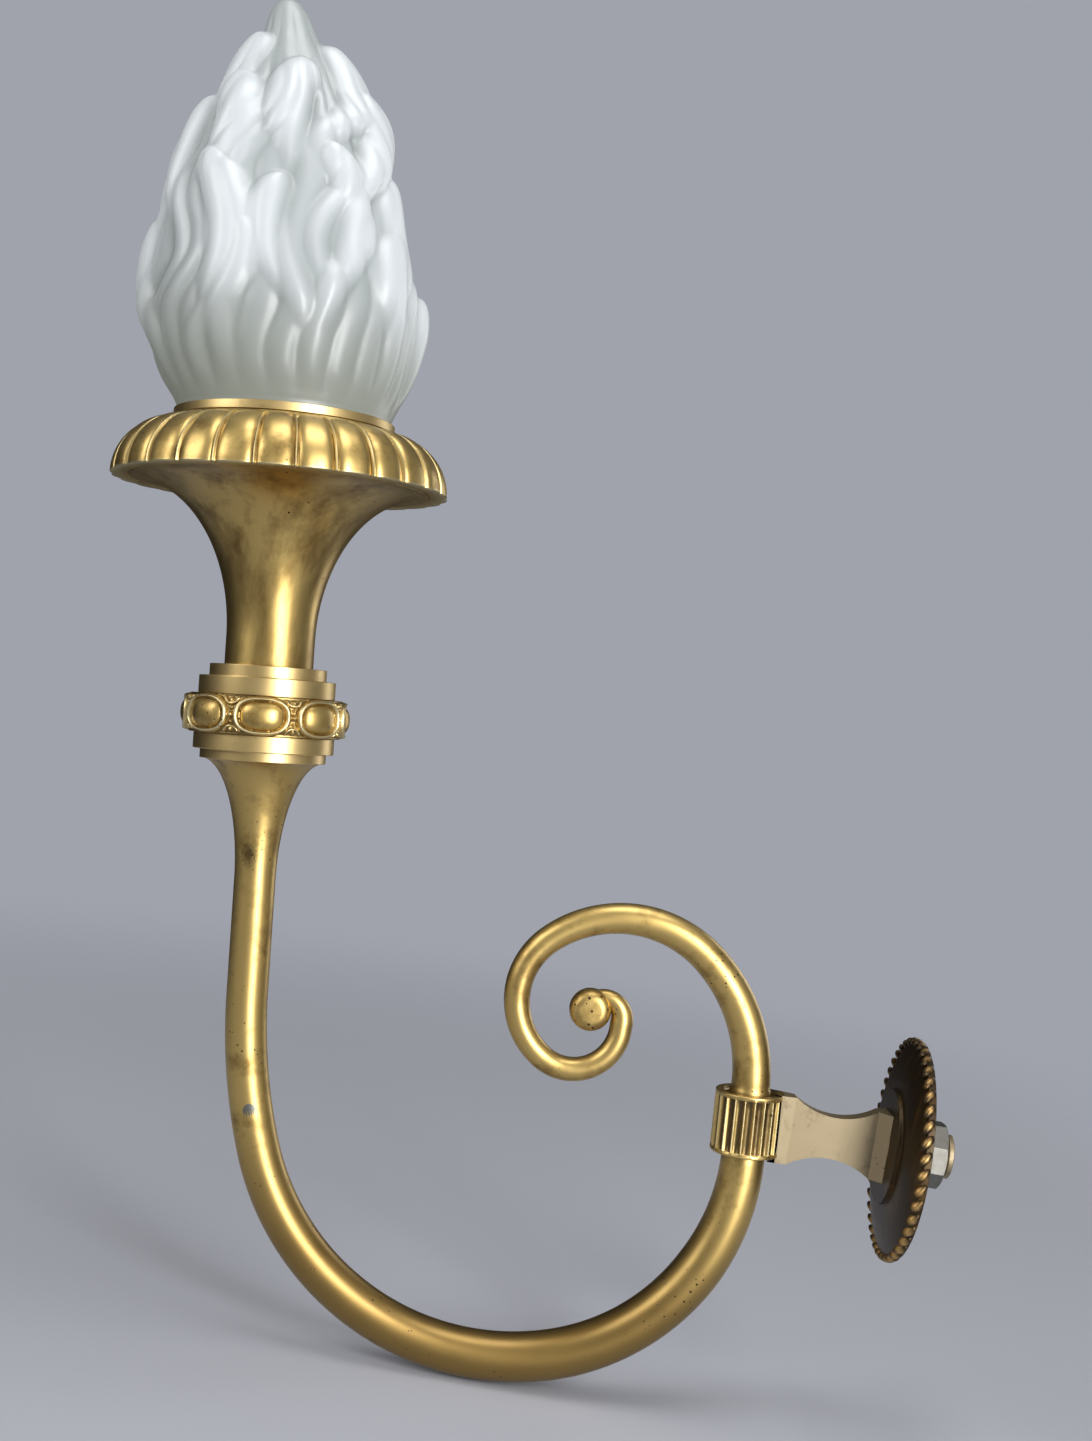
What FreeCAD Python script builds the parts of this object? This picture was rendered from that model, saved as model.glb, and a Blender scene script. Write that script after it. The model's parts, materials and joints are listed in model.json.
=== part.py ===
import FreeCAD, Part
import math
import os
import re

import Sketcher
from FreeCAD import Placement, Rotation, Vector

# A wall light: a cast brass arm that swings down and up from a round wall plate, carries a turned and
# gadrooned torch, and holds a frosted glass flame over one lamp.
# Frame: origin at the centre of the wall plate's back face, +X into the wall, +Z up, millimetres.
# The arm lies in the plane y = 0. The torch leans a little away from the wall, as the arm's end does.

SIZES = {
    # wall plate
    "plate_radius": 54.6,
    "plate_edge": 3.6,
    "plate_dome_radius": 62.0,
    "plate_recess_radius": 49.0,
    "plate_recess_depth": 1.6,
    "boss_radius": 29.0,
    "boss_foot": 9.4,
    "boss_top": 11.6,
    "rope_bead_length": 4.9,
    "rope_bead_radius": 2.1,
    "rope_bead_count": 44,
    "rope_bead_sink": 0.5,
    "rope_bead_level": 3.9,
    "rope_slant": 48.0,
    # hollow stud, nut and washer
    "stud_radius": 11.0,
    "stud_bore": 4.5,
    "stud_free_length": 21.8,
    "stud_end_length": 2.4,
    "stud_end_chamfer": 0.3,
    "stud_thread_pitch": 1.6,
    "stud_thread_depth": 0.8,
    "stud_thread_turns": 2,
    "tenon_radius": 6.4,
    "tenon_length": 4.0,
    "hole_clearance": 0.15,
    "washer_radius": 17.0,
    "washer_thickness": 5.0,
    "nut_sides": 8,
    "nut_across_flats": 31.5,
    "nut_thickness": 14.0,
    "nut_chamfer": 1.0,
    # bracket between plate and collar
    "bracket_web_depth": 10.0,
    "bracket_end_height": 34.0,
    "bracket_web_start": 60.0,
    "bracket_curve_radius": 37.0,
    "bracket_block_length": 6.3,
    "bracket_block_depth": 20.0,
    "bracket_jaw_offset": 11.18,
    "bracket_shoulder_length": 12.0,
    "bracket_shoulder_depth": 26.0,
    "wire_passage_radius": 3.5,
    # fluted collar
    "collar_centre": 82.3,
    "collar_lean": 3.8,
    "collar_radius": 17.2,
    "collar_height": 31.0,
    "collar_lip": 2.2,
    "collar_flute_count": 21,
    "collar_flute_radius": 2.3,
    "collar_flute_inset": 0.6,
    "collar_groove_radius": 13.6,
    "collar_groove_depth": 1.2,
    "slip_clearance": 0.04,
    "cut_margin": 1.0,
    "cut_overrun": 3.0,
    # hollow cast arm
    "arm_joint_rise": 10.0,
    "arm_joint_radius": 10.5,
    "arm_drop": 2.5,
    "arm_bend_near": 113.6,
    "arm_swell_angle": 30.84,
    "arm_bend_near_angle": 77.1,
    "arm_bend_far": 133.4,
    "arm_bend_far_angle": 84.7,
    "arm_bend_last": 286.0,
    "arm_drop_radius": 11.0,
    "arm_swell_radius": 12.2,
    "arm_bend_radius": 12.3,
    "arm_rise_radius": 10.8,
    "arm_stem_radius": 10.4,
    "arm_stem_length": 118.5,
    "arm_bore": 6.0,
    "cup_radius": 31.0,
    "cup_height": 60.0,
    "cup_thread_depth": 34.0,
    "plug_radius": 3.3,
    "plug_below_cup": 175.6,
    "plug_turn": -5.0,
    # scroll
    "scroll_neck_radius": 9.8,
    "scroll_rise": 2.7,
    "scroll_bend_first": 82.4,
    "scroll_bend_first_angle": 49.1,
    "scroll_bend_second": 62.1,
    "scroll_bend_second_angle": 81.3,
    "scroll_bend_third": 37.8,
    "scroll_bend_third_angle": 104.6,
    "scroll_bend_fourth": 24.1,
    "scroll_bend_fourth_angle": 121.2,
    "scroll_last_run": 4.2,
    "scroll_bend_last": 11.0,
    "scroll_bend_last_angle": 120.0,
    "scroll_first_radius": 8.75,
    "scroll_second_radius": 7.1,
    "scroll_third_radius": 6.25,
    "scroll_fourth_radius": 5.8,
    "scroll_tip_radius": 3.2,
    "scroll_eye_out": 5.8,
    "scroll_eye_rise": 3.4,
    "scroll_eye_radius": 10.7,
    "scroll_eye_depth": 14.0,
    "scroll_eye_edge": 3.6,
    "dowel_depth": 10.0,
    "dowel_gap": 0.5,
    # torch: turned and cast rings, from the arm's cup upwards
    "torch_lean": 6.2,
    "foot_ring_radius": 31.6,
    "foot_ring_height": 4.8,
    "lower_band_radius": 35.3,
    "lower_band_height": 8.2,
    "collar_hollow_radius": 28.0,
    "collar_floor": 4.0,
    "egg_turn": 6.5,
    "egg_ring_edge_radius": 37.6,
    "egg_ring_bore": 31.0,
    "egg_height": 19.5,
    "egg_count": 8,
    "egg_half_width": 11.0,
    "egg_half_height": 7.9,
    "egg_half_depth": 5.7,
    "egg_seat_radius": 38.0,
    "dart_half_width": 2.4,
    "dart_half_height": 5.6,
    "dart_half_depth": 2.6,
    "dart_seat_radius": 38.9,
    "upper_band_radius": 34.3,
    "upper_band_height": 9.0,
    "upper_ring_radius": 29.4,
    "upper_ring_height": 6.0,
    "trumpet_neck_radius": 22.3,
    "trumpet_neck_height": 14.6,
    "trumpet_flare_height": 76.6,
    "trumpet_radius": 75.0,
    "trumpet_wall": 2.2,
    "trumpet_floor": 4.0,
    "upper_ring_wall": 4.8,
    # gadrooned ring
    "gadroon_lobe_count": 27,
    "gadroon_turn": -3.35,
    "gadroon_inset": 19.5,
    "gadroon_sweep_radius": 20.0,
    "gadroon_lobe_radius": 9.0,
    "gadroon_core_radius": 25.6,
    "gadroon_hollow_radius": 21.5,
    "gadroon_hole_land": 1.0,
    "gadroon_shoulder": 2.4,
    "gadroon_band_width": 2.1,
    "gadroon_band_rise": 0.5,
    # cup that holds the glass, and its seat
    "fitter_wall": 1.6,
    "fitter_undercut": 2.5,
    "fitter_gap": 0.8,
    "fitter_band_height": 4.2,
    "fitter_ledge_width": 6.9,
    "fitter_ledge_drop": 3.2,
    "fitter_depth": 8.0,
    "fitter_floor": 3.0,
    "seat_thickness": 1.5,
    # threaded pipe through the stack, its nuts and washers
    "pipe_radius": 5.0,
    "pipe_bore": 3.6,
    "pipe_nut_sides": 6,
    "pipe_nut_across_flats": 17.0,
    "pipe_nut_thickness": 5.0,
    "pipe_washer_radius": 9.5,
    "pipe_washer_thickness": 1.2,
    # glass flame
    "moving_gap": 0.3,
    "glass_foot_radius": 53.3,
    "glass_wall": 4.2,
    "glass_shoulder": 0.6,
    "glass_height": 215.0,
    "glass_lobe_count": 9,
    "glass_lobe_depth": 2.6,
    "glass_twist": 38.0,
    "glass_tip_offset": 11.0,
    "glass_stand": 1.0,
    "glass_lobe_full_radius": 50.0,
    "glass_hollow_least": 12.6,
    "glass_tongue_tip": 0.8,
    # lampholder
    "holder_foot_radius": 15.0,
    "holder_radius": 20.5,
    "holder_cap_height": 20.0,
    "holder_shell_height": 26.0,
    "holder_wall": 1.6,
    "holder_thread_depth": 7.0,
    "insert_radius": 18.3,
    "insert_base": 10.0,
    "insert_floor": 12.0,
    "sleeve_radius": 14.5,
    "sleeve_wall": 0.8,
    "sleeve_height": 19.0,
    "contact_radius": 3.4,
    "contact_height": 2.6,
    "terminal_radius": 1.9,
    "terminal_length": 5.0,
    "terminal_spacing": 18.0,
    # lamp
    "lamp_cap_radius": 13.2,
    "lamp_cap_height": 22.0,
    "lamp_cap_wall": 0.6,
    "lamp_cap_foot_radius": 9.9,
    "lamp_neck_gap": 1.8,
    "lamp_insulator_height": 4.0,
    "lamp_contact_radius": 4.6,
    "lamp_contact_height": 1.6,
    "lamp_globe_radius": 22.5,
    "lamp_globe_wall": 0.9,
    "lamp_neck_height": 8.0,
    "lamp_stem_radius": 3.2,
    "lamp_stem_height": 24.0,
}

# Heights above the arm's cup, up the torch's own axis.
EGG_BASE = "foot_ring_height + lower_band_height"
UPPER_BASE = EGG_BASE + " + egg_height"
TRUMPET_BASE = UPPER_BASE + " + upper_band_height + upper_ring_height"
FLARE_BASE = TRUMPET_BASE + " + trumpet_neck_height"
FLANGE = FLARE_BASE + " + trumpet_flare_height"
GADROON_SEAT = FLANGE + " + trumpet_wall"
FITTER_BORE = "(glass_foot_radius + moving_gap * 2)"
FITTER_RADIUS = "(glass_foot_radius + moving_gap * 2 + fitter_wall)"
FITTER_STEP = FITTER_RADIUS + " - fitter_undercut"
FITTER_LEDGE_RADIUS = FITTER_BORE + " - fitter_ledge_width"
GADROON_HOLE = FITTER_STEP + " - gadroon_shoulder"
GADROON_TOP = FLANGE + " + gadroon_sweep_radius + gadroon_lobe_radius + gadroon_band_rise"
FITTER_TOP = GADROON_TOP + " + fitter_gap + fitter_band_height"
FITTER_LEDGE = FITTER_TOP + " - fitter_ledge_drop"
FITTER_FLOOR = GADROON_TOP + " - fitter_depth + fitter_floor"
HOLDER_BASE = FITTER_FLOOR + " + pipe_washer_thickness + pipe_nut_thickness"
CONTACT_BASE = HOLDER_BASE + " + insert_base + insert_floor"
LAMP_BASE = CONTACT_BASE + " + contact_height + moving_gap"
LAMP_CAP_BASE = LAMP_BASE + " + lamp_contact_height + lamp_insulator_height"
LAMP_CAP_TOP = LAMP_CAP_BASE + " + lamp_cap_height"
GLASS_FOOT = FITTER_LEDGE + " + seat_thickness + moving_gap"

DOC = FreeCAD.newDocument("torch_sconce")
SHEET = DOC.addObject("Spreadsheet::Sheet", "Sizes")
SCRATCH = DOC.addObject("Spreadsheet::Sheet", "Scratch")
NODES = []


def fill_sheet():
    for row, (alias, value) in enumerate(SIZES.items(), start=1):
        SHEET.set(f"A{row}", alias)
        SHEET.set(f"B{row}", str(value))
        SHEET.setAlias(f"B{row}", alias)
    DOC.recompute()


def bound(expression):
    """The expression as the document reads it: every size's name points at its cell."""
    return re.sub(r"\b[a-z]\w*\b(?!\()", lambda name: "Sizes." + name.group(0), expression)


def measure(expression):
    """The value of an expression made of the sheet's names."""
    SCRATCH.set("A1", "=" + bound(expression))
    SCRATCH.recompute()
    return float(SCRATCH.get("A1"))


def keep(item, label, placement=None):
    """Makes an object one of the finished pieces."""
    item.Label = label
    if placement is not None:
        item.Placement = placement
    NODES.append(item)
    return item


def wall_frame():
    """Turned pieces of the wall end: their own Z axis points away from the wall."""
    return Placement(Vector(0, 0, 0), Rotation(Vector(0, 1, 0), -90))


def collar_frame():
    centre = Vector(-measure("collar_centre"), 0, 0)
    return Placement(centre, Rotation(Vector(0, 1, 0), -measure("collar_lean")))


def torch_frame():
    """Stands on the arm's cup: Z runs up the torch."""
    end, heading = arm_path()[-1]["end"], arm_path()[-1]["heading"]
    return Placement(end, Rotation(Vector(0, 1, 0), 90 - math.degrees(heading)))


def turned_frame(turn):
    """The torch's frame, turned round its own axis."""
    return torch_frame().multiply(Placement(Vector(0, 0, 0), Rotation(Vector(0, 0, 1), measure(turn))))


# --- plane paths ------------------------------------------------------------------------------------

def along(heading, distance):
    return Vector(math.cos(heading) * distance, 0, math.sin(heading) * distance)


def chain(start, heading, runs):
    """Straight runs and tangent arcs in the plane y = 0. A run is (length, radius, angle, end_radius):
    a straight run has no radius; an arc's angle is positive when it turns left."""
    steps = []
    for length, radius, angle, end_radius in runs:
        if radius is None:
            end = start + along(heading, length)
            edge = Part.LineSegment(start, end).toShape()
        else:
            side = math.copysign(math.pi / 2, angle)
            centre = start + along(heading + side, radius)
            turn = math.radians(angle)
            middle = centre + along(heading - side + turn / 2, radius)
            end = centre + along(heading - side + turn, radius)
            edge = Part.Arc(start, middle, end).toShape()
            heading += turn
        steps.append({"edge": edge, "end": end, "heading": heading, "radius": end_radius})
        start = end
    return steps


def arm_path():
    """From the joint inside the collar, down, round the bend and up the stem to the cup."""
    lean = math.radians(measure("collar_lean"))
    start = Vector(-measure("collar_centre"), 0, 0) + along(math.pi / 2 + lean, measure("arm_joint_rise"))
    near, far = measure("arm_bend_near_angle"), measure("arm_bend_far_angle")
    swell = measure("arm_swell_angle")
    last = 180 + measure("collar_lean") - measure("torch_lean") - near - far
    return chain(start, lean - math.pi / 2, [
        (measure("arm_joint_rise + collar_height / 2"), None, 0, measure("arm_joint_radius")),
        (measure("arm_drop"), None, 0, measure("arm_drop_radius")),
        (0, measure("arm_bend_near"), -swell, measure("arm_swell_radius")),
        (0, measure("arm_bend_near"), swell - near, measure("arm_bend_radius")),
        (0, measure("arm_bend_far"), -far, measure("arm_rise_radius")),
        (0, measure("arm_bend_last"), -last, measure("arm_stem_radius")),
        (measure("arm_stem_length - cup_height"), None, 0, measure("arm_stem_radius")),
        (measure("cup_height"), None, 0, measure("arm_stem_radius")),
    ])


def scroll_path():
    """From the joint inside the collar, up and round to the scroll's eye."""
    lean = math.radians(measure("collar_lean"))
    start = Vector(-measure("collar_centre"), 0, 0) + along(math.pi / 2 + lean, measure("arm_joint_rise"))
    runs = [
        (measure("collar_height / 2 - arm_joint_rise"), None, 0, measure("arm_joint_radius")),
        (measure("scroll_rise"), None, 0, measure("scroll_neck_radius")),
    ]
    for name in ("first", "second", "third", "fourth"):
        bend, angle = measure(f"scroll_bend_{name}"), measure(f"scroll_bend_{name}_angle")
        runs.append((0, bend, angle, measure(f"scroll_{name}_radius")))
    runs.append((measure("scroll_last_run"), None, 0, measure("scroll_fourth_radius")))
    runs.append((0, measure("scroll_bend_last"), measure("scroll_bend_last_angle"), measure("scroll_tip_radius")))
    return chain(start, math.pi / 2 + lean, runs)


def ring_wire(centre, heading, radius):
    return Part.Wire(Part.makeCircle(radius, centre, along(heading, 1)))


def tapered_sweep(start_heading, start_radius, steps):
    """A round bar that follows the steps and has each step's own radius at its end."""
    start = steps[0]["edge"].valueAt(steps[0]["edge"].FirstParameter)
    spans = []
    for step in steps:
        shell = Part.BRepOffsetAPI.MakePipeShell(Part.Wire([step["edge"]]))
        shell.add(ring_wire(start, start_heading, start_radius))
        shell.add(ring_wire(step["end"], step["heading"], step["radius"]))
        shell.build()
        shell.makeSolid()
        spans.append(shell.shape())
        start, start_heading, start_radius = step["end"], step["heading"], step["radius"]
    return spans[0].multiFuse(spans[1:])


def plain_sweep(start_heading, radius, steps):
    return tapered_sweep(start_heading, radius, [dict(step, radius=radius) for step in steps])


# --- document objects -------------------------------------------------------------------------------

def origin_plane(body, role):
    for feature in body.Origin.OriginFeatures:
        if feature.Role == role:
            return feature
    raise ValueError(role)


def fix_point(sketch, geometry, position, across, up):
    """Pins a sketch point to two expressions, measured from the sketch's origin."""
    for kind, expression in (("DistanceX", across), ("DistanceY", up)):
        index = sketch.addConstraint(
            Sketcher.Constraint(kind, -1, 1, geometry, position, measure(expression)))
        sketch.setExpression(f"Constraints[{index}]", bound(expression))


def outline_sketch(body, role, outline):
    """A closed outline on one of the body's origin planes. Each corner is (across, up) or
    (across, up, bulge): a bulge is the radius of the arc to the next corner, with a minus sign in
    front where the arc turns right."""
    sketch = body.newObject("Sketcher::SketchObject", body.Name + "_outline")
    sketch.AttachmentSupport = [(origin_plane(body, role), "")]
    sketch.MapMode = "FlatFace"
    points = [Vector(measure(corner[0]), measure(corner[1]), 0) for corner in outline]
    ends = []
    for index, corner in enumerate(outline):
        first, second = points[index], points[(index + 1) % len(points)]
        if len(corner) == 2:
            geometry = sketch.addGeometry(Part.LineSegment(first, second), False)
            ends.append((geometry, 1, 2))
            continue
        radius = measure(corner[2].lstrip("-"))
        side = -1 if corner[2].startswith("-") else 1
        chord = second - first
        rise = radius - math.sqrt(radius ** 2 - (chord.Length / 2) ** 2)
        right = Vector(chord.y, -chord.x, 0).normalize()
        middle = (first + second) * 0.5 + right * (rise * side)
        geometry = sketch.addGeometry(Part.Arc(first, middle, second), False)
        swapped = (sketch.getPoint(geometry, 1) - first).Length > (sketch.getPoint(geometry, 2) - first).Length
        ends.append((geometry, 2, 1) if swapped else (geometry, 1, 2))
        limit = sketch.addConstraint(Sketcher.Constraint("Radius", geometry, radius))
        sketch.setExpression(f"Constraints[{limit}]", bound(corner[2].lstrip("-")))
    for index, (geometry, begin, finish) in enumerate(ends):
        following = ends[(index + 1) % len(ends)]
        sketch.addConstraint(Sketcher.Constraint("Coincident", geometry, finish, following[0], following[1]))
        fix_point(sketch, geometry, begin, outline[index][0], outline[index][1])
    return sketch


def new_body(name):
    return DOC.addObject("PartDesign::Body", name)


def turn_outline(body, outline):
    """Adds a solid of revolution about the body's Z axis."""
    sketch = outline_sketch(body, "XZ_Plane", outline)
    turned = body.newObject("PartDesign::Revolution", body.Name + "_turned")
    turned.Profile = sketch
    turned.ReferenceAxis = (sketch, ["V_Axis"])
    turned.Angle = 360
    DOC.recompute()
    return turned


def turned_piece(label, outline, placement):
    body = new_body(label + "_body")
    turn_outline(body, outline)
    return keep(body, label, placement)


def pad_outline(body, role, outline, length):
    """Adds a prism, half to each side of the plane."""
    pad = body.newObject("PartDesign::Pad", body.Name + "_pad")
    pad.Profile = outline_sketch(body, role, outline)
    pad.Midplane = True
    pad.setExpression("Length", bound(length))
    DOC.recompute()
    return pad


def ring_of(body, feature, count):
    """Repeats a feature evenly round the body's Z axis."""
    pattern = body.newObject("PartDesign::PolarPattern", feature.Name + "_pattern")
    pattern.Originals = [feature]
    pattern.Axis = (origin_plane(body, "Z_Axis"), [""])
    pattern.Angle = 360
    pattern.setExpression("Occurrences", bound(count))
    body.Tip = pattern
    DOC.recompute()
    return pattern


def ellipsoid(body, name, half_sizes, centre, turn=Rotation()):
    """Adds an ellipsoid. half_sizes are its Z, X and Y half axes, centre its three coordinates."""
    feature = body.newObject("PartDesign::AdditiveEllipsoid", name)
    feature.Placement = Placement(Vector(0, 0, 0), turn)
    for prop, expression in zip(("Radius1", "Radius2", "Radius3"), half_sizes):
        feature.setExpression(prop, bound(expression))
    for axis, expression in zip("xyz", centre):
        feature.setExpression(f"Placement.Base.{axis}", bound(expression))
    DOC.recompute()
    return feature


def primitive(kind, name, sizes, placement=None):
    item = DOC.addObject(kind, name)
    for prop, expression in sizes.items():
        item.setExpression(prop, bound(expression))
    if placement is not None:
        item.Placement = placement
    return item


def rod(name, radius, height, placement=None):
    return primitive("Part::Cylinder", name, {"Radius": radius, "Height": height}, placement)


def cut(name, base, *tools):
    """base without the tools."""
    for number, tool in enumerate(tools):
        result = DOC.addObject("Part::Cut", f"{name}_cut{number}")
        result.Base = base
        result.Tool = tool
        base = result
    return base


def group(label, members):
    """Several equal solids that share one node."""
    result = DOC.addObject("Part::Compound", label + "_group")
    result.Links = members
    return keep(result, label)


def feature(label, shape, placement=None):
    item = DOC.addObject("Part::Feature", label + "_form")
    item.Shape = shape
    return keep(item, label, placement)


def lifted(frame, height):
    """A frame moved up its own Z axis."""
    return frame.multiply(Placement(Vector(0, 0, height), Rotation()))


# --- wall end ---------------------------------------------------------------------------------------

def wall_plate():
    body = new_body("wall_plate_body")
    hole = "stud_radius + hole_clearance"
    turn_outline(body, [
        (hole, "plate_recess_depth"),
        ("plate_recess_radius", "plate_recess_depth"),
        ("plate_recess_radius", "0"),
        ("plate_radius", "0"),
        ("plate_radius", "plate_edge", "plate_dome_radius"),
        ("boss_radius", "boss_foot"),
        ("boss_radius", "boss_top"),
        (hole, "boss_top"),
    ])
    slant = Rotation(Vector(1, 0, 0), measure("rope_slant"))
    bead = ellipsoid(body, "rope_bead", ("rope_bead_length", "rope_bead_radius", "rope_bead_radius"),
                     ("plate_radius - rope_bead_sink", "0", "rope_bead_level"), slant)
    ring_of(body, bead, "rope_bead_count")
    return keep(body, "wall_plate", wall_frame())


def mounting_stud():
    """Hollow stud: a tenon in the bracket, a thicker threaded shank through plate, washer and nut."""
    body = new_body("mounting_stud_body")
    crest, root = "stud_radius", "stud_radius - stud_thread_depth"
    end = "0 - stud_free_length"
    outline = [
        ("stud_bore", "boss_top + tenon_length"),
        ("stud_bore", end),
        ("stud_radius - stud_end_chamfer", end),
        (crest, end + " + stud_end_chamfer"),
        (crest, end + " + stud_end_length"),
    ]
    for turn in range(SIZES["stud_thread_turns"]):
        groove = f"{end} + stud_end_length + stud_thread_pitch * {turn}"
        outline += [(root, groove + " + stud_thread_pitch / 2"), (crest, groove + " + stud_thread_pitch")]
    outline += [
        (crest, "boss_top"),
        ("tenon_radius", "boss_top"),
        ("tenon_radius", "boss_top + tenon_length"),
    ]
    turn_outline(body, outline)
    return keep(body, "mounting_stud", wall_frame())


def stud_washer():
    top = "plate_recess_depth"
    return turned_piece("stud_washer", [
        ("stud_radius + hole_clearance", top + " - washer_thickness"),
        ("washer_radius", top + " - washer_thickness"),
        ("washer_radius", top),
        ("stud_radius + hole_clearance", top),
    ], wall_frame())


def chamfered_nut(name, sides, flats, thickness, hole, placement):
    """A prism of that many sides kept inside a double cone, with its hole."""
    corner = f"{flats} / 2 / cos(180 / {sides})"
    prism = primitive("Part::Prism", name + "_prism", {"Circumradius": corner, "Height": thickness}, placement)
    prism.Polygon = sides
    body = new_body(name + "_cone")
    face, wide = f"{flats} / 2 - nut_chamfer / 4", corner + " + nut_chamfer / 4"
    turn_outline(body, [
        ("0", "0"), (face, "0"),
        (wide, "nut_chamfer"), (wide, thickness + " - nut_chamfer"),
        (face, thickness), ("0", thickness),
    ])
    body.Placement = placement
    faceted = DOC.addObject("Part::Common", name + "_faceted")
    faceted.Base = prism
    faceted.Tool = body
    return cut(name, faceted, rod(name + "_hole", hole, thickness, placement))


def stud_nut():
    height = measure("plate_recess_depth - washer_thickness - nut_thickness")
    sides = SIZES["nut_sides"]
    flat_forward = Placement(Vector(0, 0, 0), Rotation(Vector(0, 0, 1), 180 / sides))
    frame = lifted(wall_frame(), height).multiply(flat_forward)
    return keep(chamfered_nut("stud_nut", sides, "nut_across_flats", "nut_thickness",
                              "stud_radius + slip_clearance", frame), "stud_nut")


def bracket():
    """Flat waisted web with a flared block at the plate and a saddle at the collar."""
    body = new_body("bracket_body")
    face, block = "0 - boss_top", "0 - boss_top - bracket_block_length"
    web, half = "0 - bracket_web_start", "bracket_end_height / 2"
    low = "0 - bracket_end_height / 2"
    deep = "0 - collar_centre"
    pad_outline(body, "XZ_Plane", [
        (block, low, "bracket_curve_radius"), (web, low), (deep, low),
        (deep, half), (web, half, "bracket_curve_radius"), (block, half),
    ], "bracket_web_depth")
    slim, wide = "bracket_web_depth / 2", "bracket_block_depth / 2"
    pad_outline(body, "XY_Plane", [
        (block, "0 - " + slim), (face, "0 - " + wide), (face, wide), (block, slim),
    ], "bracket_end_height")
    shoulder = "bracket_shoulder_depth / 2"
    start = web + " - bracket_shoulder_length / 2"
    pad_outline(body, "XY_Plane", [
        (web, "0 - " + slim), (web, slim), (start, shoulder), (deep, shoulder),
        (deep, "0 - " + shoulder), (start, "0 - " + shoulder),
    ], "bracket_end_height")
    run = "bracket_end_height * cut_overrun"
    half_run = measure(run) / 2
    seat = rod("bracket_seat", "collar_radius + slip_clearance", run, lifted(collar_frame(), -half_run))
    behind = primitive("Part::Box", "bracket_behind", {"Length": "collar_radius * 2", "Width": run, "Height": run})
    reach = measure("collar_centre - bracket_jaw_offset + collar_radius * 2")
    behind.Placement = Placement(Vector(-reach, -half_run, -half_run), Rotation())
    socket = rod("bracket_socket", "tenon_radius + slip_clearance", "tenon_length",
                 lifted(wall_frame(), measure("boss_top")))
    passage = rod("bracket_passage", "wire_passage_radius", "collar_centre", wall_frame())
    return keep(cut("bracket", body, seat, behind, socket, passage), "bracket")


def fluted_collar():
    """Ring clamped round the arm's joint, fluted between two plain lips."""
    body = new_body("fluted_collar_body")
    half = "collar_height / 2"
    bore = "arm_joint_radius + slip_clearance"
    turn_outline(body, [
        (bore, "0 - " + half),
        ("collar_radius", "0 - " + half),
        ("collar_radius", half),
        ("collar_groove_radius", half),
        ("collar_groove_radius", half + " - collar_groove_depth"),
        (bore, half + " - collar_groove_depth"),
    ])
    sketch = body.newObject("Sketcher::SketchObject", "flute_circle")
    sketch.AttachmentSupport = [(origin_plane(body, "XY_Plane"), "")]
    sketch.MapMode = "FlatFace"
    centre = "collar_radius + collar_flute_inset"
    circle = Part.Circle(Vector(measure(centre), 0, 0), Vector(0, 0, 1), measure("collar_flute_radius"))
    geometry = sketch.addGeometry(circle, False)
    fix_point(sketch, geometry, 3, centre, "0")
    limit = sketch.addConstraint(Sketcher.Constraint("Radius", geometry, measure("collar_flute_radius")))
    sketch.setExpression(f"Constraints[{limit}]", bound("collar_flute_radius"))
    flute = body.newObject("PartDesign::Pocket", "flute")
    flute.Profile = sketch
    flute.Midplane = True
    flute.setExpression("Length", bound("collar_height - collar_lip * 2"))
    DOC.recompute()
    ring_of(body, flute, "collar_flute_count")
    passage = rod("collar_passage", "wire_passage_radius", "collar_centre", wall_frame())
    body.Placement = collar_frame()
    return keep(cut("fluted_collar", body, passage), "fluted_collar")


# --- arm and scroll ---------------------------------------------------------------------------------

def quarter_ellipse(centre, across, up):
    """From the centre's left, level with it, up to the point straight above it: an exact quarter
    ellipse in the plane y = 0, as the rational curve of a scaled quarter circle."""
    left = centre + Vector(-across, 0, 0)
    corner = centre + Vector(-across, 0, up)
    top = centre + Vector(0, 0, up)
    curve = Part.BSplineCurve()
    curve.buildFromPolesMultsKnots([left, corner, top], [3, 3], [0, 1], False, 2,
                                   [1, math.sqrt(0.5), 1])
    return curve


def revolved(edges):
    face = Part.Face(Part.Wire(Part.__sortEdges__(edges)))
    return face.revolve(Vector(0, 0, 0), Vector(0, 0, 1), 360)


def lines(*corners):
    """Straight edges between (radius, height) corners in the plane y = 0."""
    points = [Vector(radius, 0, height) for radius, height in corners]
    return [Part.LineSegment(a, b).toShape() for a, b in zip(points, points[1:])]


def cup_flare():
    """The arm's cup: the stem opens in a quarter ellipse to the rim, with the pipe's thread inside."""
    rim, stem, height = measure("cup_radius"), measure("arm_stem_radius"), measure("cup_height")
    bore, pipe, depth = measure("arm_bore"), measure("pipe_radius + slip_clearance"), measure("cup_thread_depth")
    sweep = quarter_ellipse(Vector(rim, 0, -height), rim - stem, height).toShape()
    return revolved([sweep] + lines((rim, 0), (pipe, 0), (pipe, -depth), (bore, -depth),
                                    (bore, -height), (stem, -height)))


def plug_spot():
    """Where the core was filled, on the arm's last bend: the frame across the tube and the tube's radius."""
    bend, back = measure("arm_bend_last"), measure("plug_below_cup - arm_stem_length")
    stem, rise = measure("arm_stem_radius"), measure("arm_rise_radius")
    sweep = measure("180 + collar_lean - torch_lean - arm_bend_near_angle - arm_bend_far_angle")
    swing = Placement(Vector(bend, 0, -measure("arm_stem_length")),
                      Rotation(Vector(0, 1, 0), -math.degrees(back / bend)))
    frame = torch_frame().multiply(swing).multiply(Placement(Vector(-bend, 0, 0), Rotation()))
    return frame, stem + (rise - stem) * back / (bend * math.radians(sweep))


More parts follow.
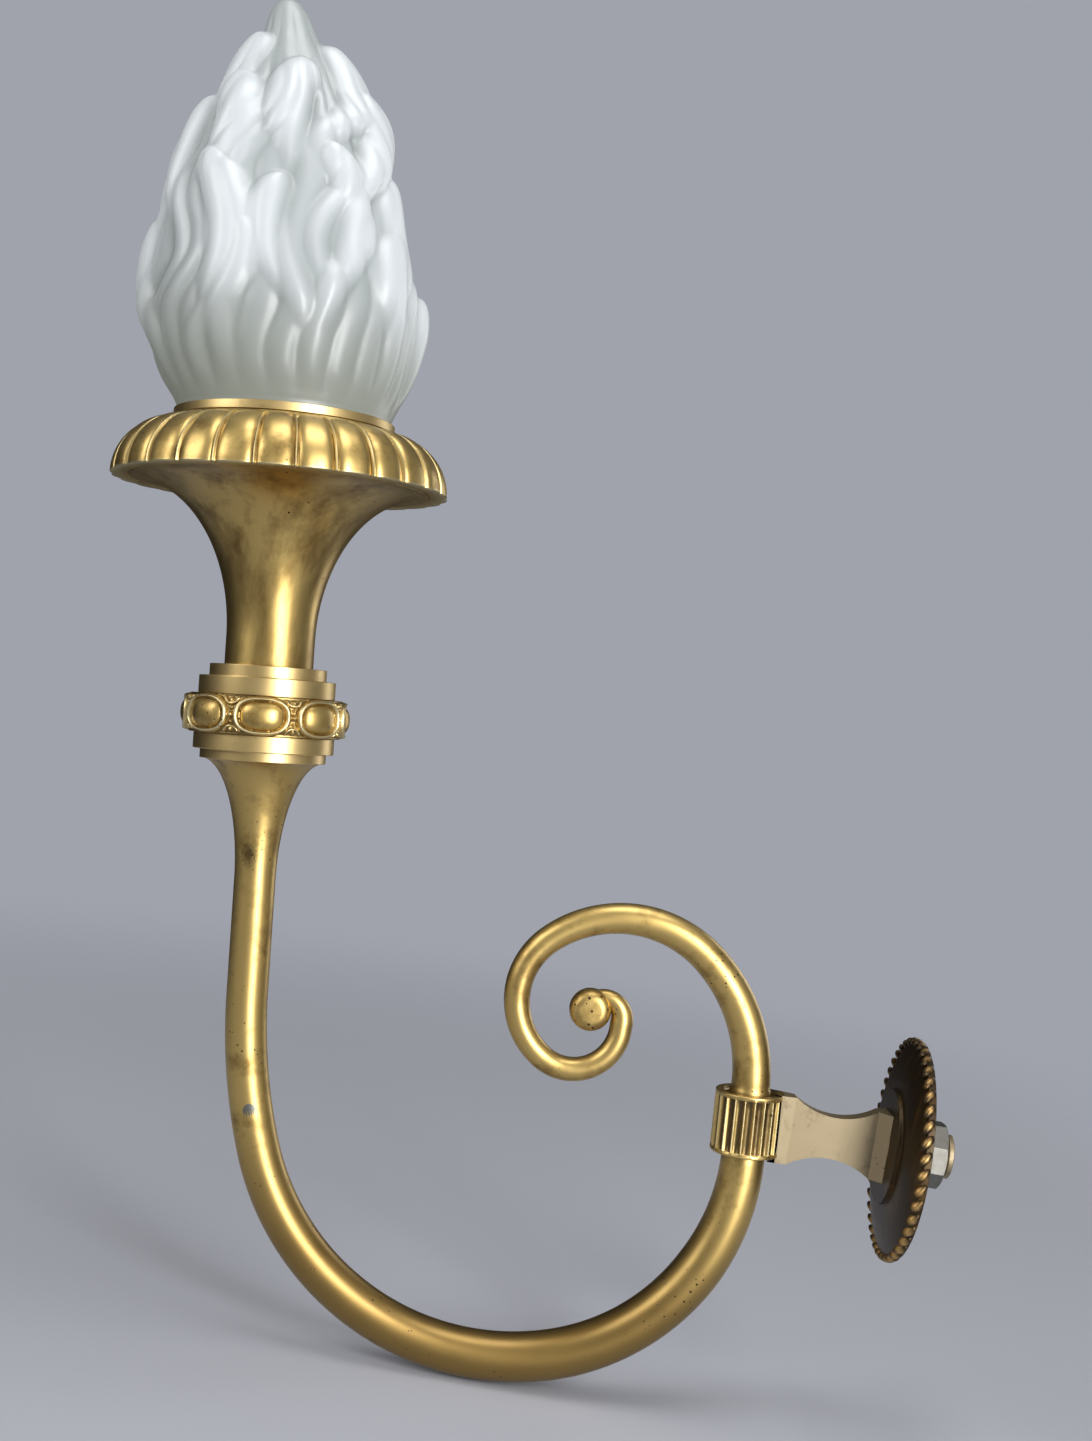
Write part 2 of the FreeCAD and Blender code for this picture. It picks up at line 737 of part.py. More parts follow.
def plug_frame():
    """Outward through the tube's wall at the plug."""
    side = Rotation(Vector(0, 0, 1), -measure("plug_turn")).multiply(Rotation(Vector(1, 0, 0), 90))
    return plug_spot()[0].multiply(Placement(Vector(0, 0, 0), side))


def arm_tube():
    steps = arm_path()
    down = math.radians(measure("collar_lean")) - math.pi / 2
    outside = tapered_sweep(down, measure("arm_joint_radius"), steps[:-1])
    bore = plain_sweep(down, measure("arm_bore"), steps[:-1])
    flare = cup_flare()
    flare.Placement = torch_frame()
    passage = Part.makeCylinder(measure("wire_passage_radius"), measure("collar_centre"))
    passage.Placement = wall_frame()
    plug = Part.makeCylinder(measure("plug_radius"), measure("arm_stem_radius * 2"))
    plug.Placement = plug_frame()
    tube = outside.cut(bore).fuse(flare).removeSplitter()
    return feature("arm_tube", tube.cut(passage).cut(plug))


def stem_plug():
    """Disc that closes the core hole, flush with the tube's round side."""
    frame, radius = plug_spot()
    bore, height = measure("arm_bore"), measure("plug_radius * cut_overrun")
    disc = Part.makeCylinder(measure("plug_radius - slip_clearance"), radius - bore, Vector(0, 0, bore))
    disc.Placement = plug_frame()
    round_side = Part.makeCylinder(radius, height, Vector(0, 0, -height / 2))
    round_side.Placement = frame
    return feature("stem_plug", disc.common(round_side))


def scroll():
    """Solid tapering volute that ends in a flat round eye."""
    steps = scroll_path()
    up = math.radians(measure("collar_lean")) + math.pi / 2
    bar = tapered_sweep(up, measure("arm_joint_radius"), steps)
    tip = steps[-1]
    turn_centre = tip["end"] + along(tip["heading"] + math.pi / 2, measure("scroll_bend_last"))
    depth = measure("scroll_eye_depth")
    middle = turn_centre + Vector(-measure("scroll_eye_out"), 0, measure("scroll_eye_rise"))
    eye = Part.makeCylinder(measure("scroll_eye_radius"), depth, middle + Vector(0, depth / 2, 0), Vector(0, -1, 0))
    eye = eye.makeFillet(measure("scroll_eye_edge"), [edge for edge in eye.Edges
                                                      if isinstance(edge.Curve, Part.Circle)])
    socket = Part.makeCylinder(measure("arm_bore"), measure("dowel_depth"), Vector(0, 0, measure("arm_joint_rise")))
    socket.Placement = collar_frame()
    return feature("scroll", bar.fuse(eye).cut(socket))


def scroll_dowel():
    """Round dowel that lines the scroll up with the arm's bore."""
    dowel = rod("scroll_dowel_rod", "arm_bore - slip_clearance",
                "arm_joint_rise + dowel_depth - wire_passage_radius - dowel_gap",
                lifted(collar_frame(), measure("wire_passage_radius + dowel_gap")))
    return keep(dowel, "scroll_dowel")


# --- torch ------------------------------------------------------------------------------------------

PIPE_HOLE = "pipe_radius + hole_clearance"


def lower_collar():
    top = EGG_BASE
    return turned_piece("lower_collar", [
        (PIPE_HOLE, "0"),
        ("foot_ring_radius", "0"),
        ("foot_ring_radius", "foot_ring_height"),
        ("lower_band_radius", "foot_ring_height"),
        ("lower_band_radius", top),
        ("collar_hollow_radius", top),
        ("collar_hollow_radius", "collar_floor"),
        (PIPE_HOLE, "collar_floor"),
    ], torch_frame())


def egg_ring():
    """Barrel ring with a row of lying eggs and a round dart between each two."""
    body = new_body("egg_ring_body")
    turn_outline(body, [
        ("egg_ring_bore", EGG_BASE),
        ("egg_ring_edge_radius", EGG_BASE, "egg_height"),
        ("egg_ring_edge_radius", UPPER_BASE),
        ("egg_ring_bore", UPPER_BASE),
    ])
    middle = EGG_BASE + " + egg_height / 2"
    egg = ellipsoid(body, "egg", ("egg_half_height", "egg_half_depth", "egg_half_width"),
                    ("egg_seat_radius", "0", middle))
    ring_of(body, egg, "egg_count")
    between = "180 / egg_count"
    turn = Rotation(Vector(0, 0, 1), measure(between))
    dart = ellipsoid(body, "dart", ("dart_half_height", "dart_half_depth", "dart_half_width"),
                     (f"dart_seat_radius * cos({between})", f"dart_seat_radius * sin({between})", middle), turn)
    ring_of(body, dart, "egg_count")
    return keep(body, "egg_ring", turned_frame("egg_turn"))


def upper_collar():
    hollow = "upper_ring_radius - upper_ring_wall"
    floor = UPPER_BASE + " + upper_band_height"
    return turned_piece("upper_collar", [
        (PIPE_HOLE, floor),
        (hollow, floor),
        (hollow, UPPER_BASE),
        ("upper_band_radius", UPPER_BASE),
        ("upper_band_radius", floor),
        ("upper_ring_radius", floor),
        ("upper_ring_radius", TRUMPET_BASE),
        (PIPE_HOLE, TRUMPET_BASE),
    ], torch_frame())


def trumpet():
    """Spun shell: a straight neck that opens in a quarter ellipse to a flat flange."""
    base, flare, flange = measure(TRUMPET_BASE), measure(FLARE_BASE), measure(FLANGE)
    rim, neck, wall = measure("trumpet_radius"), measure("trumpet_neck_radius"), measure("trumpet_wall")
    hole, floor = measure(PIPE_HOLE), base + measure("trumpet_floor")
    centre = Vector(rim, 0, flare)
    outside = quarter_ellipse(centre, rim - neck, flange - flare).toShape()
    inside = quarter_ellipse(centre, rim - neck + wall, flange - flare + wall).toShape()
    edges = [outside, inside]
    edges += lines((rim, flange), (rim, flange + wall))
    edges += lines((neck - wall, flare), (neck - wall, floor), (hole, floor), (hole, base), (neck, base),
                   (neck, flare))
    return feature("trumpet", revolved(edges), torch_frame())


def gadroon_ring():
    """Hollow ring with a row of swelling lobes that run from its lower edge up to its top band."""
    centre, sweep = measure("trumpet_radius - gadroon_inset"), measure("gadroon_sweep_radius")
    lobe, core = measure("gadroon_lobe_radius"), measure("gadroon_core_radius")
    hollow, hole = measure("gadroon_hollow_radius"), measure(GADROON_HOLE)
    flange, seat, top = measure(FLANGE), measure(GADROON_SEAT), measure(GADROON_TOP)
    skirt, land = measure("trumpet_radius + hole_clearance"), measure(GADROON_HOLE + " + gadroon_hole_land")
    rise = math.sqrt(hollow ** 2 - (land - centre) ** 2)
    band = measure(FITTER_RADIUS + " + gadroon_band_width")
    brow = math.sqrt(core ** 2 - (band - centre) ** 2)
    outer = Part.Arc(Vector(centre + core, 0, flange),
                     Vector(centre + core * math.sqrt(0.5), 0, flange + core * math.sqrt(0.5)),
                     Vector(band, 0, flange + brow)).toShape()
    tilt = math.atan2(rise, land - centre)
    inner = Part.Arc(Vector(centre + hollow, 0, seat),
                     Vector(centre + hollow * math.cos(tilt / 2), 0, seat + hollow * math.sin(tilt / 2)),
                     Vector(land, 0, seat + rise)).toShape()
    edges = [outer, inner]
    edges += lines((band, flange + brow), (band, top), (hole, top), (hole, seat + rise), (land, seat + rise))
    edges += lines((centre + hollow, seat), (skirt, seat), (skirt, flange), (centre + core, flange))
    body = revolved(edges)
    pitch = 360 / measure("gadroon_lobe_count")
    lobe_bar = Part.makeTorus(sweep, lobe, Vector(0, 0, 0), Vector(0, 0, 1), -180, 180, 90)
    lobe_bar.rotate(Vector(0, 0, 0), Vector(1, 0, 0), 90)
    lobe_bar.translate(Vector(centre, 0, flange))
    inside = (core + hollow) / 2
    heart = Part.Arc(Vector(centre + inside, 0, flange),
                     Vector(centre + inside * math.sqrt(0.5), 0, flange + inside * math.sqrt(0.5)),
                     Vector(centre, 0, flange + inside)).toShape()
    below = flange - measure("cut_margin")
    lobe_bar = lobe_bar.cut(revolved([heart] + lines((centre, flange + inside), (hole, flange + inside), (hole, top),
                                                     (0, top), (0, below), (centre + inside, below),
                                                     (centre + inside, flange))))
    lobes = []
    for index in range(int(measure("gadroon_lobe_count"))):
        lobe = lobe_bar.copy()
        lobe.rotate(Vector(0, 0, 0), Vector(0, 0, 1), index * pitch)
        lobes.append(lobe)
    return feature("gadroon_ring", body.multiFuse(lobes), turned_frame("gadroon_turn"))


def fitter_cup():
    """Turned cup on the gadrooned ring: its band holds the glass, its floor is clamped by the pipe."""
    low = GADROON_TOP + " - fitter_depth"
    inner = GADROON_HOLE + " - hole_clearance"
    return turned_piece("fitter_cup", [
        (PIPE_HOLE, low),
        (inner, low),
        (inner, GADROON_TOP),
        (FITTER_STEP, GADROON_TOP),
        (FITTER_STEP, GADROON_TOP + " + fitter_gap"),
        (FITTER_RADIUS, GADROON_TOP + " + fitter_gap"),
        (FITTER_RADIUS, FITTER_TOP),
        (FITTER_BORE, FITTER_TOP),
        (FITTER_BORE, FITTER_LEDGE),
        (FITTER_LEDGE_RADIUS, FITTER_LEDGE),
        (FITTER_LEDGE_RADIUS, FITTER_FLOOR),
        (PIPE_HOLE, FITTER_FLOOR),
    ], torch_frame())


def shade_seat():
    """Soft ring between the glass and its cup."""
    top = FITTER_LEDGE + " + seat_thickness"
    return turned_piece("shade_seat", [
        (FITTER_LEDGE_RADIUS, FITTER_LEDGE),
        (FITTER_BORE + " - moving_gap", FITTER_LEDGE),
        (FITTER_BORE + " - moving_gap", top),
        (FITTER_LEDGE_RADIUS, top),
    ], torch_frame())


def central_pipe():
    """Threaded pipe that clamps the stack of rings and carries the lampholder."""
    top = HOLDER_BASE + " + holder_thread_depth"
    return turned_piece("central_pipe", [
        ("pipe_bore", "0 - cup_thread_depth"),
        ("pipe_radius", "0 - cup_thread_depth"),
        ("pipe_radius", top),
        ("pipe_bore", top),
    ], torch_frame())


NECK_FLOOR = TRUMPET_BASE + " + trumpet_floor"


def pipe_washers():
    """One washer on the trumpet's floor, one on the cup's."""
    washers = []
    for number, level in enumerate((NECK_FLOOR, FITTER_FLOOR)):
        frame = lifted(torch_frame(), measure(level))
        disc = rod(f"pipe_washer{number}", "pipe_washer_radius", "pipe_washer_thickness", frame)
        hole = rod(f"pipe_washer{number}_hole", PIPE_HOLE, "pipe_washer_thickness", frame)
        washers.append(cut(f"pipe_washer{number}", disc, hole))
    return group("pipe_washers", washers)


def pipe_nuts():
    """One nut on each of the pipe's washers."""
    nuts = []
    for number, level in enumerate((NECK_FLOOR, FITTER_FLOOR)):
        frame = lifted(torch_frame(), measure(level + " + pipe_washer_thickness"))
        nuts.append(chamfered_nut(f"pipe_nut{number}", SIZES["pipe_nut_sides"], "pipe_nut_across_flats",
                                  "pipe_nut_thickness", "pipe_radius + slip_clearance", frame))
    return group("pipe_nuts", nuts)


# --- glass ------------------------------------------------------------------------------------------

# The flame's swelling and closing: share of the glass's height, and radius there.
FLAME_SECTIONS = (
    (0.055, 60.5),
    (0.14, 67.0),
    (0.26, 70.5),
    (0.38, 66.0),
    (0.50, 58.0),
    (0.62, 47.5),
    (0.74, 34.0),
    (0.86, 19.0),
    (0.97, 5.0),
)
# Rows of tongues: how many, where the first stands in degrees, the share of the height of root and
# tip, the tip's radius and the root's thickness.
FLAME_TONGUES = (
    (6, 12.0, 0.20, 0.47, 67.0, 15.0),
    (6, 40.0, 0.36, 0.62, 58.0, 14.0),
    (5, 20.0, 0.52, 0.78, 41.0, 12.0),
    (3, 0.0, 0.68, 0.93, 16.0, 9.0),
)


def flame_centre(share):
    """The flame's own middle drifts outward towards its tip."""
    return Vector(-measure("glass_tip_offset") * share ** 2, 0, measure(GLASS_FOOT) + share * measure("glass_height"))


def flame_ring(share, radius, depth):
    """A closed curve round the flame with shallow lobes that turn as they rise."""
    count = int(measure("glass_lobe_count"))
    twist = math.radians(measure("glass_twist")) * share
    points = []
    for index in range(2 * count):
        angle = math.pi * index / count + twist
        reach = radius + (depth if index % 2 == 0 else -depth)
        points.append(flame_centre(share) + Vector(reach * math.cos(angle), reach * math.sin(angle), 0))
    curve = Part.BSplineCurve()
    curve.interpolate(points, PeriodicFlag=True)
    return Part.Wire(curve.toShape())


def flame_radius(share):
    below = FLAME_SECTIONS[0]
    for above in FLAME_SECTIONS:
        if above[0] >= share:
            span = max(above[0] - below[0], 0.001)
            return below[1] + (above[1] - below[1]) * (share - below[0]) / span
        below = above
    return below[1]


def flame_tongue(angle, root_share, tip_share, tip_radius, thickness):
    """A pointed tongue that leans out of the flame's side."""
    around = Vector(math.cos(angle), math.sin(angle), 0)
    root = flame_centre(root_share) + around * (flame_radius(root_share) - thickness)
    tip = flame_centre(tip_share) + around * tip_radius
    return Part.makeCone(thickness, measure("glass_tongue_tip"), (tip - root).Length, root, tip - root)


def flame_shade():
    """Moulded glass flame: lobed, twisted and hollow, with rows of tongues and a round foot."""
    foot, wall = measure("glass_foot_radius"), measure("glass_wall")
    depth = measure("glass_lobe_depth")
    start = measure(FITTER_TOP + " + glass_stand - (" + GLASS_FOOT + ")") / measure("glass_height")
    full, least = measure("glass_lobe_full_radius"), measure("glass_hollow_least")
    outer = [flame_ring(start, foot, 0)]
    inner = [flame_ring(start, foot - wall, 0)]
    for share, radius in FLAME_SECTIONS:
        swell = depth * min(1, radius / full) * min(1, share / FLAME_SECTIONS[1][0])
        outer.append(flame_ring(share, radius, swell))
        if radius > least:
            inner.append(flame_ring(share, radius - wall - swell, 0))
    body = Part.makeLoft(outer, True, False)
    for count, first, root_share, tip_share, tip_radius, thickness in FLAME_TONGUES:
        tongues = []
        for index in range(count):
            angle = math.radians(first + 360 * index / count)
            tongues.append(flame_tongue(angle, root_share, tip_share, tip_radius, thickness))
        body = body.multiFuse(tongues)
    shoulder = measure("glass_shoulder")
    neck = start * measure("glass_height") + 2 * shoulder
    low = flame_centre(0)
    foot_ring = Part.makeCylinder(foot - shoulder, neck, low)
    mouth = Part.makeCylinder(foot - wall - shoulder, neck, low)
    hollow = Part.makeLoft(inner, True, False)
    return feature("flame_shade", body.fuse(foot_ring).cut(mouth).cut(hollow), torch_frame())


# --- lampholder and lamp ----------------------------------------------------------------------------

CAP_RIM = HOLDER_BASE + " + holder_cap_height"
INSERT_BASE = HOLDER_BASE + " + insert_base"
INSERT_FLOOR = INSERT_BASE + " + insert_floor"


def holder_cap():
    wall = "holder_wall"
    return turned_piece("holder_cap", [
        (PIPE_HOLE, HOLDER_BASE),
        ("holder_foot_radius", HOLDER_BASE, "holder_radius"),
        ("holder_radius", HOLDER_BASE + " + insert_base - holder_wall"),
        ("holder_radius", CAP_RIM),
        ("holder_radius - " + wall, CAP_RIM),
        ("holder_radius - " + wall, INSERT_BASE),
        ("holder_foot_radius - " + wall, INSERT_BASE),
        ("holder_foot_radius - " + wall, HOLDER_BASE + " + " + wall),
        (PIPE_HOLE, HOLDER_BASE + " + " + wall),
    ], torch_frame())


def holder_shell():
    top = CAP_RIM + " + holder_shell_height"
    return turned_piece("holder_shell", [
        ("insert_radius + slip_clearance", CAP_RIM),
        ("holder_radius", CAP_RIM),
        ("holder_radius", top),
        ("insert_radius + slip_clearance", top),
    ], torch_frame())


def holder_insert():
    """Porcelain body: the lamp's sleeve stands in its well."""
    top = CAP_RIM + " + holder_shell_height"
    well = "sleeve_radius + slip_clearance"
    body = new_body("holder_insert_body")
    turn_outline(body, [
        ("0", INSERT_BASE),
        ("insert_radius", INSERT_BASE),
        ("insert_radius", top),
        (well, top),
        (well, INSERT_FLOOR),
        ("0", INSERT_FLOOR),
    ])
    body.Placement = torch_frame()
    holes = []
    for number, offset in enumerate(terminal_offsets()):
        spot = lifted(torch_frame(), measure(INSERT_BASE)).multiply(Placement(offset, Rotation()))
        holes.append(rod(f"terminal_hole{number}", "terminal_radius + slip_clearance", "terminal_length", spot))
    return keep(cut("holder_insert", body, *holes), "holder_insert")


def terminal_offsets():
    half = measure("terminal_spacing / 2")
    return (Vector(half, 0, 0), Vector(-half, 0, 0))


def terminal_screws():
    screws = []
    for number, offset in enumerate(terminal_offsets()):
        spot = lifted(torch_frame(), measure(INSERT_BASE)).multiply(Placement(offset, Rotation()))
        screws.append(rod(f"terminal_screw{number}", "terminal_radius", "terminal_length", spot))
    return group("terminal_screws", screws)


def holder_sleeve():
    """Metal sleeve that takes the lamp's screw cap."""
    top = INSERT_FLOOR + " + sleeve_height"
    return turned_piece("holder_sleeve", [
        ("sleeve_radius - sleeve_wall", INSERT_FLOOR),
        ("sleeve_radius", INSERT_FLOOR),
        ("sleeve_radius", top),
        ("sleeve_radius - sleeve_wall", top),
    ], torch_frame())


def centre_contact():
    frame = lifted(torch_frame(), measure(CONTACT_BASE))
    return keep(rod("centre_contact_disc", "contact_radius", "contact_height", frame), "centre_contact")


def lamp_contact():
    frame = lifted(torch_frame(), measure(LAMP_BASE))
    return keep(rod("lamp_contact_disc", "lamp_contact_radius", "lamp_contact_height", frame), "lamp_contact")


def lamp_insulator():
    low, high = LAMP_BASE + " + lamp_contact_height", LAMP_CAP_BASE
    return turned_piece("lamp_insulator", [
        ("0", low),
        ("lamp_contact_radius", low),
        ("lamp_cap_foot_radius", high),
        ("0", high),
    ], torch_frame())


def lamp_cap():
    """Thin screw cap: closed below by the insulator, open to the globe's neck."""
    wall = "lamp_cap_wall"
    return turned_piece("lamp_cap", [
        ("0", LAMP_CAP_BASE),
        ("lamp_cap_foot_radius", LAMP_CAP_BASE),
        ("lamp_cap_radius", LAMP_CAP_BASE + " + lamp_contact_height"),
        ("lamp_cap_radius", LAMP_CAP_TOP),
        ("lamp_cap_radius - " + wall, LAMP_CAP_TOP),
        ("lamp_cap_radius - " + wall, LAMP_CAP_BASE + " + lamp_contact_height + " + wall),
        ("lamp_cap_foot_radius", LAMP_CAP_BASE + " + " + wall),
        ("0", LAMP_CAP_BASE + " + " + wall),
    ], torch_frame())


def lamp_globe():
    """Blown glass globe whose neck stands in the cap."""
    wall, radius = measure("lamp_globe_wall"), measure("lamp_globe_radius")
    neck = measure("lamp_cap_radius - lamp_cap_wall - slip_clearance")
    low = measure(LAMP_CAP_TOP + " - lamp_neck_height")
    drop = math.sqrt(radius ** 2 - neck ** 2)
    centre = measure(LAMP_CAP_TOP + " + lamp_neck_gap") + drop
    outside = Part.makeSphere(radius, Vector(0, 0, centre)).fuse(
        Part.makeCylinder(neck, centre - drop - low, Vector(0, 0, low)))
    inside = Part.makeSphere(radius - wall, Vector(0, 0, centre)).fuse(
        Part.makeCylinder(neck - wall, centre - low, Vector(0, 0, low)))
    return feature("lamp_globe", outside.cut(inside), torch_frame())


def lamp_stem():
    """Glass stem inside the globe that carries the filament."""
    frame = lifted(torch_frame(), measure(LAMP_CAP_BASE + " + lamp_cap_wall"))
    return keep(rod("lamp_stem_rod", "lamp_stem_radius", "lamp_cap_height + lamp_stem_height", frame), "lamp_stem")


def check_and_write():
    DOC.recompute()
    for item in DOC.Objects:
        broken = {"Invalid", "Error"} & set(item.State)
        if broken:
            raise RuntimeError(f"{item.Name}: {sorted(broken)}")
    os.makedirs("parts", exist_ok=True)
    for item in NODES:
        shape = item.Shape
        if shape.isNull() or not shape.isValid() or shape.Volume <= 0:
            raise RuntimeError(f"{item.Label}: bad shape")
        shape.exportStep(os.path.join("parts", item.Label + ".step"))
        print(f"{item.Label:18s} solids {len(shape.Solids)} volume {shape.Volume / 1000:9.2f} cm3")


def main():
    fill_sheet()
    for build in (
        wall_plate, mounting_stud, stud_washer, stud_nut, bracket, fluted_collar,
        arm_tube, stem_plug, scroll, scroll_dowel,
        lower_collar, egg_ring, upper_collar, trumpet, gadroon_ring, fitter_cup, shade_seat,
        central_pipe, pipe_washers, pipe_nuts, flame_shade,
        holder_cap, holder_shell, holder_insert, terminal_screws, holder_sleeve, centre_contact,
        lamp_contact, lamp_insulator, lamp_cap, lamp_globe, lamp_stem,
    ):
        build()
    check_and_write()


main()
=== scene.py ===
"""Looks of a torch sconce, built round its fixed frame.

The frame gives the pieces at their real size and place. Each operator here models one piece, or one group
of like pieces, in the same metres and the same places, and gives it its finish.
"""

import json
import math

import bmesh
import bpy
import numpy as np
from bpy.props import FloatProperty, FloatVectorProperty, IntProperty, PointerProperty
from mathutils import Matrix, Vector


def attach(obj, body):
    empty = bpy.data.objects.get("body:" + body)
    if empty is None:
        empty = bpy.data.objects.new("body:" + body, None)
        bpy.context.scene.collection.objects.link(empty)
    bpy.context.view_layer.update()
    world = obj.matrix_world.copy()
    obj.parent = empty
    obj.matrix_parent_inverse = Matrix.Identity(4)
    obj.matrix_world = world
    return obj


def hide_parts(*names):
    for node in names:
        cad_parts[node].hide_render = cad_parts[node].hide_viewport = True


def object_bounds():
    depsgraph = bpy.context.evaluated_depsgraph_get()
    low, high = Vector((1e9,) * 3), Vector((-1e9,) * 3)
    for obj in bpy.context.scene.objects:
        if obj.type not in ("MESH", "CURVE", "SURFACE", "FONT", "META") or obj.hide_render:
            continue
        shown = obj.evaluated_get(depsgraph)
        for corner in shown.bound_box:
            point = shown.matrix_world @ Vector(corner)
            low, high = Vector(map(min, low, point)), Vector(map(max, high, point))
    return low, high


bl_info = {
    "name": "Torch sconce",
    "version": (1, 0, 0),
    "blender": (4, 5, 0),
    "location": "3D View > Sidebar > Sconce",
    "description": "Models a brass wall light with a glass flame round its packed frame",
    "category": "Object",
}

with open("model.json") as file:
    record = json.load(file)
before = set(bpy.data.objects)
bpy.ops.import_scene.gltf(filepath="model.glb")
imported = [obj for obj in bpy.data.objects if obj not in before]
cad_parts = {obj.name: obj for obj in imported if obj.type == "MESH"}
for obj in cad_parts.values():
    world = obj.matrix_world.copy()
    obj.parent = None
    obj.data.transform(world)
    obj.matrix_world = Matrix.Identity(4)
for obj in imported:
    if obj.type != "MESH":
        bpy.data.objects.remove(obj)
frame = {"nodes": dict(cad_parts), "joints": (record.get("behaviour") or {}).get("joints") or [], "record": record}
CAD_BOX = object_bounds()

MM = 0.001
JOINTS = {joint["name"]: joint for joint in frame["joints"]}

# The torch's own frame: Z runs up its axis from the arm's cup. The lamp's pivot lies on that axis.
PIVOT_HEIGHT = 180 * MM
TORCH_AXIS = Vector(JOINTS["lamp_turn"]["axis"]).normalized()
TORCH_FOOT = Vector(JOINTS["lamp_turn"]["pos_m"]) - TORCH_AXIS * PIVOT_HEIGHT
TORCH_LEAN = math.atan2(-TORCH_AXIS.x, TORCH_AXIS.z)
TORCH = Matrix.Translation(TORCH_FOOT) @ Matrix.Rotation(-TORCH_LEAN, 4, "Y")
# Turned pieces of the wall end point away from the wall.
WALL = Matrix.Rotation(math.radians(-90), 4, "Y")


# --- sizes a user would change ----------------------------------------------------------------------

def length(name, default, description):
    return FloatProperty(name=name, default=default * MM, unit="LENGTH", precision=5, description=description)


def angle(name, default, description):
    return FloatProperty(name=name, default=math.radians(default), unit="ROTATION", description=description)


def colour(name, default, description):
    return FloatVectorProperty(name=name, default=srgb(default), size=4, min=0, max=1, subtype="COLOR",
                               description=description)


def srgb(value):
    """A hex colour such as B59A5C as the linear colour that shaders use."""
    channels = [int(value[index:index + 2], 16) / 255 for index in (0, 2, 4)]
    linear = [c / 12.92 if c <= 0.04045 else ((c + 0.055) / 1.055) ** 2.4 for c in channels]
    return (*linear, 1.0)


class PlateSizes(bpy.types.PropertyGroup):
    """Wall plate, stud and nut."""
    radius: length("Plate radius", 54.6, "Radius under the rope edge")
    edge: length("Edge height", 3.6, "Height of the plate's outer edge")
    boss_radius: length("Boss radius", 29, "Radius of the raised middle")
    boss_foot: length("Boss foot", 9.4, "Height at which the dome meets the boss")
    boss_top: length("Boss top", 11.6, "Height of the raised middle")
    recess_radius: length("Recess radius", 49, "Radius of the hollow back")
    recess_depth: length("Recess depth", 1.6, "Depth of the hollow back")
    bead_count: IntProperty(name="Rope beads", default=44, description="Strands seen round the rope edge")
    bead_length: length("Bead half length", 4.6, "Half the length of one strand")
    bead_radius: length("Bead radius", 2.2, "Half the thickness of one strand")
    bead_level: length("Bead level", 3.3, "Height of the rope's centre line")
    bead_slant: angle("Bead slant", 56, "Slant of the strands")
    stud_radius: length("Stud radius", 11, "Outside radius of the stud")
    stud_bore: length("Stud bore", 4.5, "Radius of the wire way in the stud")
    stud_length: length("Stud length", 21.8, "How far the stud stands behind the plate")
    stud_play: length("Stud play", 0.15, "Gap round the stud in the plate")
    bead_sink: length("Bead sink", 0.5, "How far the rope's middle lies inside the edge")
    thread_depth: length("Thread depth", 0.8, "Depth of the stud's thread")
    thread_step: length("Thread step", 0.8, "From a crest of the thread to the next root")
    thread_start: length("Thread start", 2.4, "From the stud's end to the first crest")


class ClampSizes(bpy.types.PropertyGroup):
    """Fluted clamp and the arm's joint inside it."""
    distance: length("Distance from the wall", 82.3, "From the wall to the clamp's axis")
    lean: angle("Lean", 3.8, "Lean of the clamp's axis")
    radius: length("Radius", 17.2, "Outside radius")
    height: length("Height", 31, "Height of the clamp")
    lip: length("Lip", 2.2, "Height of each plain lip")
    flute_count: IntProperty(name="Flutes", default=21, description="Flutes round the clamp")
    flute_depth: length("Flute depth", 1.7, "Depth of a flute")
    groove_radius: length("Groove radius", 13.6, "Radius of the groove in the upper face")
    groove_depth: length("Groove depth", 1.2, "Depth of that groove")
    web_start: length("Web's shoulder", 60.2, "From the wall to the web's shoulder")
    web_end: length("Web's end", 13, "Width of the bracket past its shoulder, where it meets the clamp")
    joint_radius: length("Joint radius", 10.5, "Radius of the arm's end in the clamp")
    joint_rise: length("Joint rise", 10, "Height of the arm's joint over the clamp's middle")


class ArmSizes(bpy.types.PropertyGroup):
    """Arm, from the clamp to its cup."""
    drop: length("Drop", 2.5, "Straight stretch under the clamp")
    drop_radius: length("Drop's radius", 11, "Radius of the arm under the clamp")
    near_bend: length("Near bend", 113.6, "Bend radius of the arm next to the clamp")
    near_sweep: angle("Near sweep", 77.1, "Turn of the near bend")
    swell_share: FloatProperty(name="Swell share", default=0.4,
                               description="Part of the near bend up to the swell")
    swell_radius: length("Swell's radius", 12.2, "Radius of the arm where it has swelled")
    bend_radius: length("Bend's radius", 12.3, "Radius of the arm at the end of the near bend")
    far_bend: length("Far bend", 133.4, "Bend radius of the arm past its lowest point")
    far_sweep: angle("Far sweep", 84.7, "Turn of the far bend")
    rise_radius: length("Rise's radius", 10.8, "Radius of the arm at the end of the far bend")
    last_bend: length("Last bend", 286, "Bend radius of the arm below its stem")
    stem: length("Stem", 118.5, "Straight stretch below the cup's rim")
    stem_radius: length("Stem radius", 10.4, "Radius of the stem")
    cup_radius: length("Cup radius", 31, "Radius of the cup's rim")
    cup_height: length("Cup height", 60, "Height of the cup's flare")


class ScrollSizes(bpy.types.PropertyGroup):
    """Round eye at the scroll's tip."""
    eye_radius: length("Eye radius", 10.7, "Radius of the eye")
    eye_half: length("Eye half thickness", 7.4, "Half the thickness of the eye")
    eye_rounding: length("Eye rounding", 5.6, "Rounding of the eye's edges")
    eye_reach: length("Eye reach", 11, "From the scroll's tip towards the middle of its last bend")
    eye_back: length("Eye back", 5.8, "Further shift of the eye away from the wall")
    eye_rise: length("Eye rise", 3.4, "Further shift of the eye upwards")


